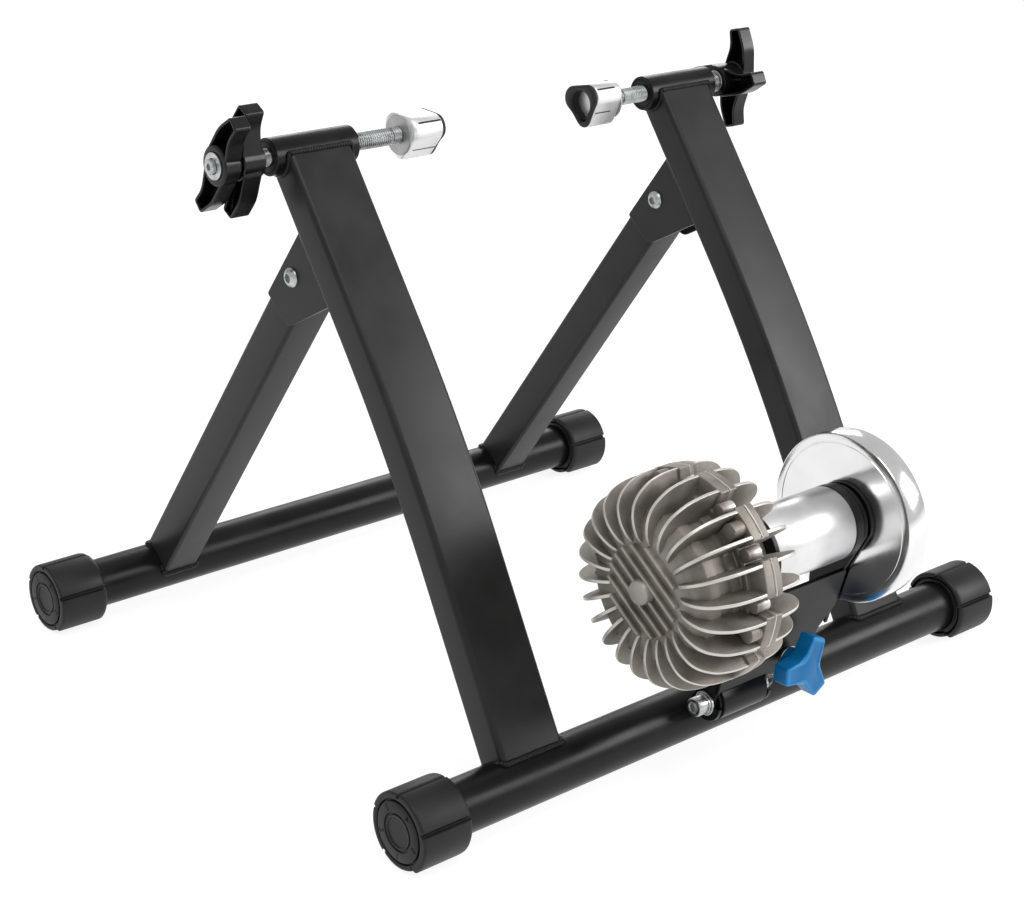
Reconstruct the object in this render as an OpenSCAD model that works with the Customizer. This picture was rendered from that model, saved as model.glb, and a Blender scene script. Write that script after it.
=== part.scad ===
// Indoor bike trainer: a folding steel stand that holds the rear axle of a
// bicycle, with a finned fluid brake, a roller and a flywheel on a tilting
// cradle. Millimetres. X runs along the floor tubes, Y from the brake to the
// folding legs, Z up. The part stands on its four feet at Z = 0.

/* [Floor tubes] */
// Width over the feet
base_w = 545; // [480:1:640]
// Distance between the axes of the two floor tubes
base_depth = 424; // [390:1:470]
// Outside diameter of a floor tube
tube_d = 36; // [32:1:40]
// Wall of a floor tube
tube_wall = 1.8; // [1.2:0.1:3]
// Radius of a foot on its lowest step, which is also the height of the tube axis
foot_r = 24.7; // [23:0.1:28]
// Rise from one step of a foot to the next
foot_step = 0.5; // [0.2:0.1:0.8]
// Length of a foot
foot_len = 38; // [28:1:50]
// Closed end of a foot
foot_end = 3; // [2:0.5:5]

/* [Uprights] */
// Distance of an upright's middle from the middle of the stand
side_x = 166.5; // [150:0.5:185]
// Width of an upright, along X
upright_w = 50; // [40:1:56]
// Thickness of an upright
upright_t = 25.5; // [22:0.5:30]
// Corner radius of an upright
upright_corner = 4; // [2:0.5:6]
// Wall of an upright
upright_wall = 1.8; // [1.2:0.1:2.5]
// How far ahead of the tube's axis an upright lands
upright_set = 1; // [0:0.5:4]
// Slope of the lower part of an upright
upright_slope = 61.5; // [58:0.5:66]
// Length of the lower straight part, from the tube's axis
lower_len = 143; // [120:1:170]
// Bend between the lower and the upper part
bend_angle = 7.5; // [4:0.5:11]
// Radius of the bend, on the centre line
bend_r = 1180; // [900:10:1400]
// Length of the upper straight part, up to the axle tube's axis
upper_len = 130; // [118:1:150]

/* [Axle clamps] */
// Outside diameter of an axle tube
axle_tube_d = 25; // [23:0.5:25.5]
// Bore of an axle tube
axle_tube_bore = 20; // [18:0.5:21]
// Inner end of an axle tube, from the middle of the stand
axle_tube_in = 134; // [126:1:138]
// Outer end of an axle tube
axle_tube_out = 200; // [195:1:206]
// Length of a threaded bush
bush_len = 14; // [10:1:20]
// Diameter of a clamp rod
rod_d = 12; // [10:0.5:14]
// Back of the left cup
left_cup_x = 92.5; // [80:0.5:100]
// Back of the right cup
right_cup_x = 102.5; // [90:0.5:110]
// Outer end of the left rod
left_rod_out = 239.5; // [236:0.5:250]
// Outer end of the right rod
right_rod_out = 241.5; // [238:0.5:250]
// Inner face of the left lock knob
left_lock_x = 207.5; // [205:0.5:210]
// Inner face of the right lock knob
right_lock_x = 210; // [207:0.5:212]
// Height of the flat side of a cup above the rod's axis
cup_top = 13.5; // [12:0.5:16]
// Width of a cup's flat side, before its corners are rounded
cup_side = 53; // [48:1:58]
// Height of a cup's three-sided outline, before its corners are rounded
cup_high = 35.3; // [33:0.1:38]
// Radius of a cup's two wide corners
cup_wide_r = 9.5; // [8:0.5:11]
// Radius of a cup's narrow corner
cup_narrow_r = 6.5; // [5:0.5:8]
// Length of a cup's metal body
cup_len = 27.5; // [24:0.5:34]
// Lip of the cup's liner, ahead of the metal body
lip_len = 4; // [2:0.5:6]
// Bore of the liner, which takes the wheel's axle nut
socket_d = 19; // [16:0.5:20]
// Depth of the socket, from the lip
socket_depth = 19; // [14:1:22]
// Wall of the liner round the socket
liner_wall = 1.5; // [1:0.1:2]
// How far a rod's end reaches into its cup
rod_in_cup = 6; // [4:0.5:8]
// Reach of a knob's wing from its axis
wing_reach = 39; // [32:1:44]
// Width of a knob's wing at its tip
wing_tip = 10; // [7:0.5:13]
// Width of a knob's wing at its hub
wing_root = 15; // [12:0.5:18]
// Radius of a knob's hub
hub_r = 12; // [11:0.5:14]
// Depth of a knob's wings, along the rod
wing_deep = 12; // [9:0.5:13]
// Depth of a lock knob's hub
lock_hub = 17; // [14:0.5:18]
// Outside diameter of a lock knob's threaded insert
insert_d = 17; // [15:0.5:18]

/* [Folding legs] */
// Width of a strut's square tube
strut_w = 29.5; // [26:0.5:31]
// Corner radius of a strut
strut_corner = 3; // [2:0.5:5]
// Wall of a strut
strut_wall = 1.5; // [1.2:0.1:2.5]
// Fold pivot below the axle, along the upright
pivot_drop = 69.4; // [60:0.2:80]
// Fold pivot behind the upright's centre line
pivot_back = 42.6; // [40:0.2:48]
// Strut beyond its pivot
strut_over = 15; // [12:0.5:17]
// Thickness of a bracket's plate
plate_t = 3; // [2:0.5:3.5]
// Gap between a strut and a bracket's side plate
plate_gap = 2.2; // [1.5:0.1:3]
// Edge of a bracket beyond the pivot, across the strut
plate_edge = 13; // [9:0.5:15]
// Diameter of the pivot bolts
bolt_d = 8; // [6:1:8]

/* [Cradle] */
// Roller axis ahead of the rear floor tube
unit_y = 45; // [41:0.5:50]
// Height of the roller axis
unit_z = 155.3; // [150:0.1:160]
// Outside diameter of the pivot barrel on the floor tube
barrel_d = 26.6; // [24:0.2:28]
// Direction from the floor tube's axis up to the pivot barrel
barrel_angle = 143; // [135:1:150]
// Left end of the pivot barrel
barrel_left = 30; // [26:1:36]
// Right end of the pivot barrel
barrel_right = 11; // [8:1:14]
// Lean of the cradle's front plate
web_lean = 15.5; // [12:0.5:18]
// Front face of the plate ahead of the cradle's pivot
web_front = 8; // [7:0.5:9]
// Top edge of the front plate, from the height of the pivot
web_top = 84; // [78:1:88]
// Thickness of the cradle's sheet
sheet_t = 3; // [2:0.5:4]
// Left face of the cradle's left flange, from the middle of the stand
flange_left = 28; // [27:0.5:31]
// Right face of the cradle's right flange
flange_right = 64; // [62:0.5:65]
// Radius of the left flange round the roller's axis
flange_r = 30; // [28:0.5:32]

/* [Roller and flywheel] */
// Diameter of the roller
roller_d = 50.6; // [48:0.2:54]
// Wall of the roller
roller_wall = 4; // [3:0.5:6]
// Left end of the roller, from the middle of the stand
roller_left = 23.5; // [22:0.5:24.5]
// Right end of the roller
roller_right = 52.3; // [48:0.1:53]
// Diameter of the shaft
shaft_d = 12; // [10:1:12]
// Diameter of the flywheel
flywheel_d = 116.4; // [100:0.2:124]
// Front face of the flywheel, from the middle of the stand
flywheel_x = 65.5; // [65.3:0.1:68]
// Thickness of the flywheel
flywheel_t = 18.4; // [14:0.2:22]
// Outside diameter of a bearing
bearing_d = 28; // [26:1:30]
// Width of a bearing
bearing_w = 8; // [7:1:9]

/* [Brake housing] */
// Front face of the housing's ribbed patch, from the middle of the stand
house_front = 117.5; // [115:0.5:119]
// Joint between the two halves of the housing
house_joint = 73; // [70:0.5:76]
// Ends of the rear fins
house_back = 46; // [44:0.5:50]
// Radius over the fins
fin_r = 70; // [66:0.5:74]
// Number of fins on each half, four for each screw
fin_count = 24; // [20:4:28]
// Thickness of a fin
fin_t = 3; // [2:0.2:3.6]
// Radius of the drum between the fins
drum_r = 52; // [50:0.5:54]
// Radius of the fluid chamber
chamber_r = 46; // [40:0.5:48]
// Radius on which the housing screws sit
screw_circle = 63; // [62:0.5:64]
// Diameter of the housing screws
screw_d = 4; // [3:0.5:4]
// Radius of the impeller
impeller_r = 42; // [30:0.5:44]

/* [Tension adjuster] */
// Adjuster bolt, from the middle of the stand
adjust_x = 23.2; // [20:0.2:30]
// Height of the adjuster bolt
adjust_z = 64.3; // [62:0.1:67]
// Diameter of the adjuster bolt
adjust_d = 8; // [6:0.5:8]
// Front face of the zinc washer, ahead of the floor tube
adjust_y = 45; // [44.5:0.1:46]
// Depth of the blue knob
knob_deep = 18.6; // [16:0.2:22]
// Reach of the blue knob's three wings
knob_reach = 22.5; // [20:0.5:26]
// Outside diameter of the spring
spring_d = 15; // [13:0.5:17]
// Wire of the spring
spring_wire = 1.6; // [1.2:0.1:2]
// Number of curls in the spring
spring_turns = 6; // [4:1:8]

/* [Hidden] */
$fn = 64;

// Clearances
fit = 0.05;
gap = 0.3;
seat = 0.02;

// Finishes
black_coat = [0.12, 0.12, 0.13];
black_plastic = [0.07, 0.07, 0.07];
zinc = [0.75, 0.77, 0.8];
chrome = [0.86, 0.87, 0.88];
cast_grey = [0.63, 0.6, 0.57];
blue_plastic = [0.05, 0.45, 0.75];

// The Y of the part's middle, so that the part stands on its box's centre. The
// housing's bridges end a little inside the fins' radius.
bridge_drop = 0.3;
origin_y = (base_depth + foot_r + foot_step - unit_y - fin_r + bridge_drop) / 2;

// Places in the side view, as [y, z] from below the rear floor tube's axis
function along(a) = [cos(a), sin(a)];
function across(a) = [sin(a), -cos(a)];
rear_axis = [0, foot_r];
front_axis = [base_depth, foot_r];
upper_slope = upright_slope - bend_angle;
bend_start = rear_axis + [upright_set, 0] + lower_len * along(upright_slope);
bend_centre = bend_start + bend_r * across(upright_slope);
bend_end = bend_centre - bend_r * across(upper_slope);
axle_axis = bend_end + upper_len * along(upper_slope);
fold_axis = axle_axis - pivot_drop * along(upper_slope) + pivot_back * across(upper_slope);
strut_line = front_axis - fold_axis;
strut_len = norm(strut_line);
strut_slope = atan2(strut_line[1], strut_line[0]);
tilt_axis = rear_axis + (tube_d + barrel_d) / 2 * along(barrel_angle);
roller_axis = [-unit_y, unit_z];

// Corners of an outline rounded with arcs, one radius for each corner
arc_steps = 6;
function unit(v) = v / norm(v);
function corner_arc(a, b, c, r) =
    let (u = unit(a - b), v = unit(c - b), half = acos(u * v) / 2)
    let (m = b + unit(u + v) * r / sin(half), s = b + u * r / tan(half) - m)
    let (turn = cross(u, v) > 0 ? -1 : 1, sweep = 180 - 2 * half)
    [for (k = [0:arc_steps]) let (w = turn * sweep * k / arc_steps)
        m + [s[0] * cos(w) - s[1] * sin(w), s[0] * sin(w) + s[1] * cos(w)]];
function rounded(pts, radii) = let (n = len(pts)) [for (i = [0:n - 1])
    each (radii[i] > 0
        ? corner_arc(pts[(i + n - 1) % n], pts[i], pts[(i + 1) % n], radii[i])
        : [pts[i]])];

// Puts a shape drawn in the stand's side view into the part's frame
module placed() translate([0, -origin_y, 0]) children();
module at_side(x, p) translate([x, p[0], p[1]]) children();

// Turns a flat outline given as [y, z] into a plate with its left face at x
module side_plate(x, t) translate([x, 0, 0]) rotate([90, 0, 90]) linear_extrude(t) children();

// Round bar or ring along X, from x1 to x2, about the point p
module bar_x(x1, x2, d, p) at_side(x1, p) rotate([0, 90, 0]) cylinder(d = d, h = x2 - x1);
module ring_x(x1, x2, d, bore, p) difference() {
    bar_x(x1, x2, d, p);
    bar_x(x1 - 1, x2 + 1, bore, p);
}

// Flat rectangle with round corners
module round_rect(w, h, r) {
    square([w - 2 * r, h], center = true);
    square([w, h - 2 * r], center = true);
    for (i = [-1, 1], j = [-1, 1])
        translate([i * (w / 2 - r), j * (h / 2 - r)]) circle(r = r);
}

// Floor tubes: a round tube from foot to foot
tube_end = base_w / 2 - foot_end - gap;
module floor_tube(p) color(black_coat)
    ring_x(-tube_end, tube_end, tube_d, tube_d - 2 * tube_wall, p);
module rear_floor_tube() placed() floor_tube(rear_axis);
module front_floor_tube() placed() floor_tube(front_axis);

// Feet: a cap that turns on the tube's end, its rim in five steps of height
foot_steps = 5;
step_arc = 360 / foot_steps;
module foot_outline() {
    for (i = [0:foot_steps - 1]) {
        a = -90 + i * step_arc;
        r = foot_r + i * foot_step;
        intersection() {
            circle(r = r);
            polygon([[0, 0], 2 * r * along(a - step_arc / 2), 2 * r * along(a),
                2 * r * along(a + step_arc / 2)]);
        }
    }
}
module foot(side, p) color(black_plastic) difference() {
    at_side(side > 0 ? base_w / 2 - foot_len : -base_w / 2, p)
        side_plate(0, foot_len) foot_outline();
    bar_x(side > 0 ? 0 : -base_w / 2 + foot_end, side > 0 ? base_w / 2 - foot_end : 0,
        tube_d + 2 * fit, p);
}
module rear_left_foot() placed() foot(-1, rear_axis);
module rear_right_foot() placed() foot(1, rear_axis);
module front_left_foot() placed() foot(-1, front_axis);
module front_right_foot() placed() foot(1, front_axis);

// Uprights: a bent rectangular tube between the floor tube and the axle tube
axle_cut = 4;
bend_lap = 1;
module upright_core(w, t, r) {
    at_side(0, rear_axis + [upright_set, 0]) rotate([upright_slope - 90, 0, 0])
        linear_extrude(lower_len + bend_lap) round_rect(w, t, r);
    at_side(0, bend_centre) rotate([90, 0, 90]) rotate([0, 0, 90 + upper_slope])
        rotate_extrude(angle = bend_angle, $fn = 360) translate([bend_r, 0])
            round_rect(t - 2 * seat, w - 2 * seat, r);
    at_side(0, bend_end) rotate([upper_slope - 90, 0, 0]) translate([0, 0, -bend_lap])
        linear_extrude(upper_len - axle_cut + bend_lap) round_rect(w, t, r);
}
module upright(x) color(black_coat) translate([x, 0, 0]) difference() {
    upright_core(upright_w, upright_t, upright_corner);
    upright_core(upright_w - 2 * upright_wall, upright_t - 2 * upright_wall,
        upright_corner - upright_wall);
    bar_x(-upright_w, upright_w, tube_d, rear_axis);
    bar_x(-upright_w, upright_w, axle_tube_d, axle_axis);
}
module left_upright() placed() upright(-side_x);
module right_upright() placed() upright(side_x);

// Axle tubes, with a threaded bush in each end
module left_axle_tube() placed() color(black_coat)
    ring_x(-axle_tube_out, -axle_tube_in, axle_tube_d, axle_tube_bore, axle_axis);
module right_axle_tube() placed() color(black_coat)
    ring_x(axle_tube_in, axle_tube_out, axle_tube_d, axle_tube_bore, axle_axis);
module thread_bushes() placed() color(black_coat)
    for (x = [-axle_tube_out, -axle_tube_in - bush_len, axle_tube_in, axle_tube_out - bush_len])
        ring_x(x, x + bush_len, axle_tube_bore - 2 * seat, rod_d + 2 * fit, axle_axis);

// Clamp rods: a threaded rod from its knob to its cup
rod_tap_d = 6;
rod_tap_deep = 14;
module clamp_rod(x_out, x_in, side) color(zinc) difference() {
    bar_x(min(x_out, x_in), max(x_out, x_in), rod_d, axle_axis);
    bar_x(side > 0 ? x_out - rod_tap_deep : x_out - 1,
        side > 0 ? x_out + 1 : x_out + rod_tap_deep, rod_tap_d, axle_axis);
}
module left_clamp_rod() placed() clamp_rod(-left_rod_out, -left_cup_x + rod_in_cup, -1);
module right_clamp_rod() placed() clamp_rod(right_rod_out, right_cup_x - rod_in_cup, 1);

// Knobs: a hub with two opposite wings
module wing_outline(angle) rotate(angle)
    polygon(rounded([[wing_reach, -wing_tip / 2], [wing_reach, wing_tip / 2],
        [0, wing_root / 2], [-wing_reach, wing_tip / 2], [-wing_reach, -wing_tip / 2],
        [0, -wing_root / 2]], [1.5, 1.5, 0, 1.5, 1.5, 0]));
left_knob_angle = 125;
right_knob_angle = 90;
left_lock_angle = 106;
right_lock_angle = 169;
module clamp_knob(x, angle) color(black_plastic) difference() {
    union() {
        at_side(x, axle_axis) side_plate(0, wing_deep) wing_outline(angle);
        bar_x(x, x + wing_deep, 2 * hub_r, axle_axis);
    }
    bar_x(x - 1, x + wing_deep + 1, rod_d + 2 * seat, axle_axis);
}
module left_clamp_knob() placed() clamp_knob(-left_rod_out, left_knob_angle);
module right_clamp_knob() placed() clamp_knob(right_rod_out - wing_deep, right_knob_angle);

// Socket screw and washer that hold a knob on its rod
washer_d = 18;
washer_t = 1.6;
screw_head_d = 10;
screw_head_t = 3;
socket_key = 4;
module knob_screw(x, side) color(zinc) difference() {
    union() {
        bar_x(side > 0 ? x : x - washer_t, side > 0 ? x + washer_t : x, washer_d, axle_axis);
        bar_x(side > 0 ? x : x - washer_t - screw_head_t,
            side > 0 ? x + washer_t + screw_head_t : x, screw_head_d, axle_axis);
        bar_x(side > 0 ? x - rod_tap_deep + 2 : x, side > 0 ? x : x + rod_tap_deep - 2,
            rod_tap_d - 2 * seat, axle_axis);
    }
    at_side(side > 0 ? x + washer_t + 1 : x - washer_t - screw_head_t - 1, axle_axis)
        rotate([0, 90, 0]) cylinder(d = socket_key, h = screw_head_t, $fn = 6);
}
module left_knob_screw() placed() knob_screw(-left_rod_out, -1);
module right_knob_screw() placed() knob_screw(right_rod_out, 1);

// Lock knobs, which jam against the axle tube's end, and their steel inserts
module lock_insert(x) color(zinc)
    ring_x(x, x + lock_hub, insert_d, rod_d + 2 * fit, axle_axis);
module left_lock_insert() placed() lock_insert(-left_lock_x - lock_hub);
module right_lock_insert() placed() lock_insert(right_lock_x);
module lock_knob(x, wing_x, angle) color(black_plastic) difference() {
    union() {
        bar_x(x, x + lock_hub, 2 * hub_r, axle_axis);
        at_side(wing_x, axle_axis) side_plate(0, wing_deep) wing_outline(angle);
    }
    bar_x(x - 1, x + lock_hub + 1, insert_d + 2 * fit, axle_axis);
}
module left_lock_knob() placed()
    lock_knob(-left_lock_x - lock_hub, -left_lock_x - lock_hub, left_lock_angle);
module right_lock_knob() placed()
    lock_knob(right_lock_x, right_lock_x + lock_hub - wing_deep, right_lock_angle);

// Cups: a metal shell with a three-sided outline and a rubber liner
function cup_outline() = rounded([[-cup_side / 2, cup_top], [0, cup_top - cup_high],
    [cup_side / 2, cup_top]], [cup_wide_r, cup_narrow_r, cup_wide_r]);
left_cup_turn = 3;
right_cup_turn = 168;
liner_d = socket_d + 2 * liner_wall;
liner_deep = socket_depth - lip_len;
slot_r = 5;
slot_drop = 8;
slot_deep = 8;
module at_cup(side, x, turn) at_side(side * x, axle_axis) rotate([turn, 0, 0])
    rotate([0, side > 0 ? 180 : 0, 0]) children();
module cup(side, x, turn) color(chrome) at_cup(side, x, turn) difference() {
    side_plate(0, cup_len) polygon(cup_outline());
    bar_x(-1, rod_in_cup + gap, rod_d + 2 * fit, [0, 0]);
    bar_x(cup_len - liner_deep, cup_len + 1, liner_d + 2 * seat, [0, 0]);
}
module cup_liner(side, x, turn) color(black_plastic) at_cup(side, x, turn) difference() {
    union() {
        side_plate(cup_len, lip_len) polygon(cup_outline());
        bar_x(cup_len - liner_deep, cup_len, liner_d, [0, 0]);
    }
    bar_x(cup_len - liner_deep + liner_wall, cup_len + lip_len + 1, socket_d, [0, 0]);
    bar_x(cup_len + lip_len - min(slot_deep, lip_len - 1), cup_len + lip_len + 1,
        2 * slot_r, [0, -slot_drop]);
}
module left_cup() placed() cup(-1, left_cup_x, left_cup_turn);
module right_cup() placed() cup(1, right_cup_x, right_cup_turn);
module left_cup_liner() placed() cup_liner(-1, left_cup_x, left_cup_turn);
module right_cup_liner() placed() cup_liner(1, right_cup_x, right_cup_turn);

// Struts: a square tube from the fold pivot down to the front floor tube
sleeve_d = 12;
module strut(x) color(black_coat) translate([x, 0, 0]) difference() {
    at_side(0, front_axis) rotate([strut_slope + 90, 0, 0]) difference() {
        linear_extrude(strut_len + strut_over) round_rect(strut_w, strut_w, strut_corner);
        linear_extrude(strut_len + strut_over + 1)
            round_rect(strut_w - 2 * strut_wall, strut_w - 2 * strut_wall,
                strut_corner - strut_wall);
    }
    bar_x(-strut_w, strut_w, tube_d, front_axis);
    bar_x(-strut_w, strut_w, sleeve_d + 2 * seat, fold_axis);
}
module left_strut() placed() strut(-side_x);
module right_strut() placed() strut(side_x);

// Steel sleeve welded across each strut, which turns on the pivot bolt
module fold_sleeves() placed() color(black_coat)
    for (x = [-side_x, side_x])
        ring_x(x - strut_w / 2, x + strut_w / 2, sleeve_d, bolt_d + 2 * fit, fold_axis);

// Brackets: a folded channel on the back of the upright
bracket_half = strut_w / 2 + plate_gap + plate_t;
back_face = upright_t / 2 + seat;
bracket_up = 47;
bracket_long = 55;
bracket_low = 33;
bracket_dip = 16;
bracket_tail = 31;
function from_axle(down, back) =
    axle_axis - down * along(upper_slope) + back * across(upper_slope);
function bracket_outline() = let (out = strut_slope + 90)
    rounded([from_axle(bracket_up, back_face), from_axle(bracket_up + bracket_long, back_face),
        fold_axis + bracket_low * along(strut_slope) - bracket_dip * along(out),
        fold_axis + bracket_tail * along(strut_slope) + plate_edge * along(out)],
        [0, 0, 8, 2]);
module bracket(x) color(black_coat) difference() {
    union() {
        for (px = [x - bracket_half, x + bracket_half - plate_t])
            side_plate(px, plate_t) polygon(bracket_outline());
        translate([x - bracket_half, 0, 0]) side_plate(0, 2 * bracket_half)
            polygon([from_axle(bracket_up, back_face),
                from_axle(bracket_up + bracket_long, back_face),
                from_axle(bracket_up + bracket_long, back_face + plate_t),
                from_axle(bracket_up, back_face + plate_t)]);
    }
    bar_x(x - 2 * bracket_half, x + 2 * bracket_half, bolt_d + 2 * seat, fold_axis);
}
module left_bracket() placed() bracket(-side_x);
module right_bracket() placed() bracket(side_x);

// Fold bolts with their heads to the left, nuts to the right, washers inside
button_d = 14;
button_t = 3.6;
button_key = 5.8;
button_key_deep = 2.4;
nut_d = 14.4;
nut_t = 8;
module fold_bolts() placed() color(zinc)
    for (x = [-side_x, side_x]) difference() {
        union() {
            bar_x(x - bracket_half, x + bracket_half + nut_t + 2, bolt_d, fold_axis);
            bar_x(x - bracket_half - button_t, x - bracket_half, button_d, fold_axis);
        }
        at_side(x - bracket_half - button_t - 1, fold_axis) rotate([0, 90, 0])
            cylinder(d = button_key, h = button_key_deep + 1, $fn = 6);
    }
module fold_nuts() placed() color(zinc)
    for (x = [-side_x, side_x]) difference() {
        at_side(x + bracket_half, fold_axis) rotate([0, 90, 0])
            cylinder(d = nut_d, h = nut_t, $fn = 6);
        bar_x(x, x + 2 * bracket_half, bolt_d + 2 * seat, fold_axis);
    }
module fold_washers() placed() color(zinc)
    for (x = [-side_x, side_x], s = [-1, 1]) {
        middle = x + s * (strut_w + plate_gap) / 2;
        ring_x(middle - plate_gap / 2 + fit, middle + plate_gap / 2 - fit, 2 * bolt_d,
            bolt_d + 2 * seat, fold_axis);
    }

// Pivot of the cradle: a barrel welded to the rear floor tube, with two bushes
barrel_bore = 14;
bush_flange_t = 1.5;
module pivot_barrel() placed() color(black_coat) difference() {
    ring_x(-barrel_left, barrel_right, barrel_d, barrel_bore, tilt_axis);
    bar_x(-barrel_left - 1, barrel_right + 1, tube_d, rear_axis);
}
module pivot_bushes() placed() color(black_plastic)
    for (s = [0, 1]) {
        end = s == 0 ? -barrel_left : barrel_right;
        inside = s == 0 ? end : end - bush_len;
        flange = s == 0 ? end - bush_flange_t : end;
        ring_x(inside, inside + bush_len, barrel_bore - 2 * seat, bolt_d + 2 * fit, tilt_axis);
        ring_x(flange, flange + bush_flange_t, barrel_d - 4, bolt_d + 2 * fit, tilt_axis);
    }

// Cradle: folded sheet with a front plate, two flanges and two pivot ears
ear_left = -barrel_left - bush_flange_t - gap - sheet_t;
ear_right = barrel_right + bush_flange_t + gap;
ear_r = barrel_d / 2 - 0.6;
web_foot = 13.5;
web_low = 11;
adjust_hole = adjust_d + 5;
module at_tilt() at_side(0, tilt_axis) rotate([web_lean, 0, 0]) children();
module web() at_tilt() translate([0, sheet_t - web_front * cos(web_lean), 0]) rotate([90, 0, 0])
    linear_extrude(sheet_t) polygon(rounded([[-flange_left, web_top], [flange_right, web_top],
        [flange_right, 54], [53, 38], [51, 30], [40, web_low], [ear_right + sheet_t, web_low],
        [ear_right + 0.5, web_foot], [ear_left + sheet_t - 0.5, web_foot], [ear_left, web_low],
        [ear_left, 22], [-flange_left, 34]], [2, 2, 6, 6, 6, 5, 0, 0, 0, 0, 3, 3]));
function web_point(up, back) = let (w = web_lean)
    tilt_axis + [-up * sin(w) - web_front * cos(w) * cos(w) + back * cos(w),
        up * cos(w) - web_front * cos(w) * sin(w) + back * sin(w)];
module flange(x, r) side_plate(x, sheet_t) {
    translate(roller_axis) circle(r = r);
    polygon([web_point(38, sheet_t / 2), web_point(web_top - 3, sheet_t / 2),
        roller_axis - [r, 0] * 0.9, roller_axis + [r, 0] * 0.98, web_point(50, 22)]);
}
module ear(x) side_plate(x, sheet_t) {
    translate(tilt_axis) circle(r = ear_r);
    polygon([web_point(0, 1), web_point(24, sheet_t / 2), web_point(24, 10),
        tilt_axis + [ear_r, 2]]);
}
module cradle() placed() color(black_coat) difference() {
    union() {
        web();
        flange(-flange_left, flange_r);
        flange(flange_right - sheet_t, roller_d / 2 - 0.5);
        ear(ear_left);
        ear(ear_right);
    }
    bar_x(-barrel_left * 2, barrel_left * 2, bolt_d + 2 * seat, tilt_axis);
    bar_x(-flange_left - 1, -flange_left + sheet_t + 1, shaft_d + 8, roller_axis);
    bar_x(flange_right - sheet_t - 1, flange_right + 1, bearing_d - 4, roller_axis);
    at_side(adjust_x, [0, adjust_z]) rotate([90, 0, 0]) cylinder(d = adjust_hole, h = 90);
}

// Pivot bolt, its washers and its nut, which tilt with the cradle
cap_d = 13;
cap_t = 8;
cap_key = 6.9;
cap_key_deep = 4;
pivot_washer_d = 16.6;
module pivot_bolt() placed() color(zinc) difference() {
    union() {
        bar_x(ear_left - 2 * washer_t, ear_right + sheet_t + washer_t + nut_t + 2, bolt_d,
            tilt_axis);
        bar_x(ear_left - 2 * washer_t - cap_t, ear_left - 2 * washer_t, cap_d, tilt_axis);
    }
    at_side(ear_left - 2 * washer_t - cap_t - 1, tilt_axis) rotate([0, 90, 0])
        cylinder(d = cap_key, h = cap_key_deep + 1, $fn = 6);
}
module pivot_washers() placed() color(zinc) {
    ring_x(ear_left - washer_t, ear_left, pivot_washer_d, bolt_d + 2 * seat, tilt_axis);
    ring_x(ear_left - 2 * washer_t, ear_left - washer_t - seat, pivot_washer_d - 2,
        bolt_d + 2 * seat, tilt_axis);
    ring_x(ear_right + sheet_t, ear_right + sheet_t + washer_t, pivot_washer_d,
        bolt_d + 2 * seat, tilt_axis);
}
module pivot_nut() placed() color(zinc) difference() {
    at_side(ear_right + sheet_t + washer_t, tilt_axis) rotate([0, 90, 0])
        cylinder(d = nut_d, h = nut_t, $fn = 6);
    bar_x(0, 2 * barrel_left, bolt_d + 2 * seat, tilt_axis);
}

// Bearing cup on the right flange, between the roller and the flywheel
cup_x = roller_right + gap;
right_bearing_x = flange_right - sheet_t - bearing_w;
module bearing_cup() placed() color(black_plastic) difference() {
    bar_x(cup_x, flange_right - sheet_t, roller_d, roller_axis);
    bar_x(right_bearing_x, flange_right, bearing_d + 2 * seat, roller_axis);
    bar_x(cup_x - 1, flange_right, shaft_d + 4, roller_axis);
}

// Ball bearings, drawn as closed rings
left_bearing_x = -flange_left - bearing_w - 3;
module roller_bearings() placed() color(zinc) {
    ring_x(right_bearing_x, right_bearing_x + bearing_w, bearing_d, shaft_d + 2 * fit,
        roller_axis);
    ring_x(left_bearing_x, left_bearing_x + bearing_w, bearing_d, shaft_d + 2 * fit,
        roller_axis);
}

// Shaft, roller, flywheel and impeller, which spin together
chamber_from = 26;
impeller_x = -house_front + chamber_from + 1;
impeller_t = 14;
shaft_left = impeller_x - 6;
flywheel_back = flywheel_x + flywheel_t;
recess_r = flywheel_d / 2 - 10;
recess_deep = 5;
shaft_nut_d = 20.8;
module roller_shaft() placed() color(zinc)
    bar_x(shaft_left, flywheel_back + nut_t + 1, shaft_d, roller_axis);
end_web_t = 6;
module roller() placed() color(chrome) difference() {
    bar_x(-roller_left, roller_right, roller_d, roller_axis);
    bar_x(-roller_left + end_web_t, roller_right - end_web_t, roller_d - 2 * roller_wall,
        roller_axis);
    bar_x(-roller_left - 1, roller_right + 1, shaft_d + 2 * seat, roller_axis);
}
module flywheel() placed() color(chrome) difference() {
    at_side(flywheel_x, roller_axis) rotate([0, 90, 0]) rotate_extrude($fn = 96)
        polygon(rounded([[0, 0], [flywheel_d / 2, 0], [flywheel_d / 2, flywheel_t],
            [recess_r, flywheel_t], [recess_r - 2, flywheel_t - recess_deep],
            [20, flywheel_t - recess_deep], [18, flywheel_t], [0, flywheel_t]],
            [0, 1.5, 1.5, 1, 1, 1, 1, 0]));
    bar_x(flywheel_x - 1, flywheel_back + 1, shaft_d + 2 * seat, roller_axis);
}
module flywheel_spacer() placed() color(zinc)
    ring_x(right_bearing_x + bearing_w, flywheel_x, shaft_d + 5, shaft_d + 2 * seat,
        roller_axis);
module flywheel_nut() placed() color(zinc) difference() {
    at_side(flywheel_back, roller_axis) rotate([0, 90, 0])
        cylinder(d = shaft_nut_d, h = nut_t, $fn = 6);
    bar_x(flywheel_x, flywheel_back + 2 * nut_t, shaft_d + 2 * seat, roller_axis);
}
vane_count = 8;
vane_t = 3;
hub_ring_r = 11;
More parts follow.
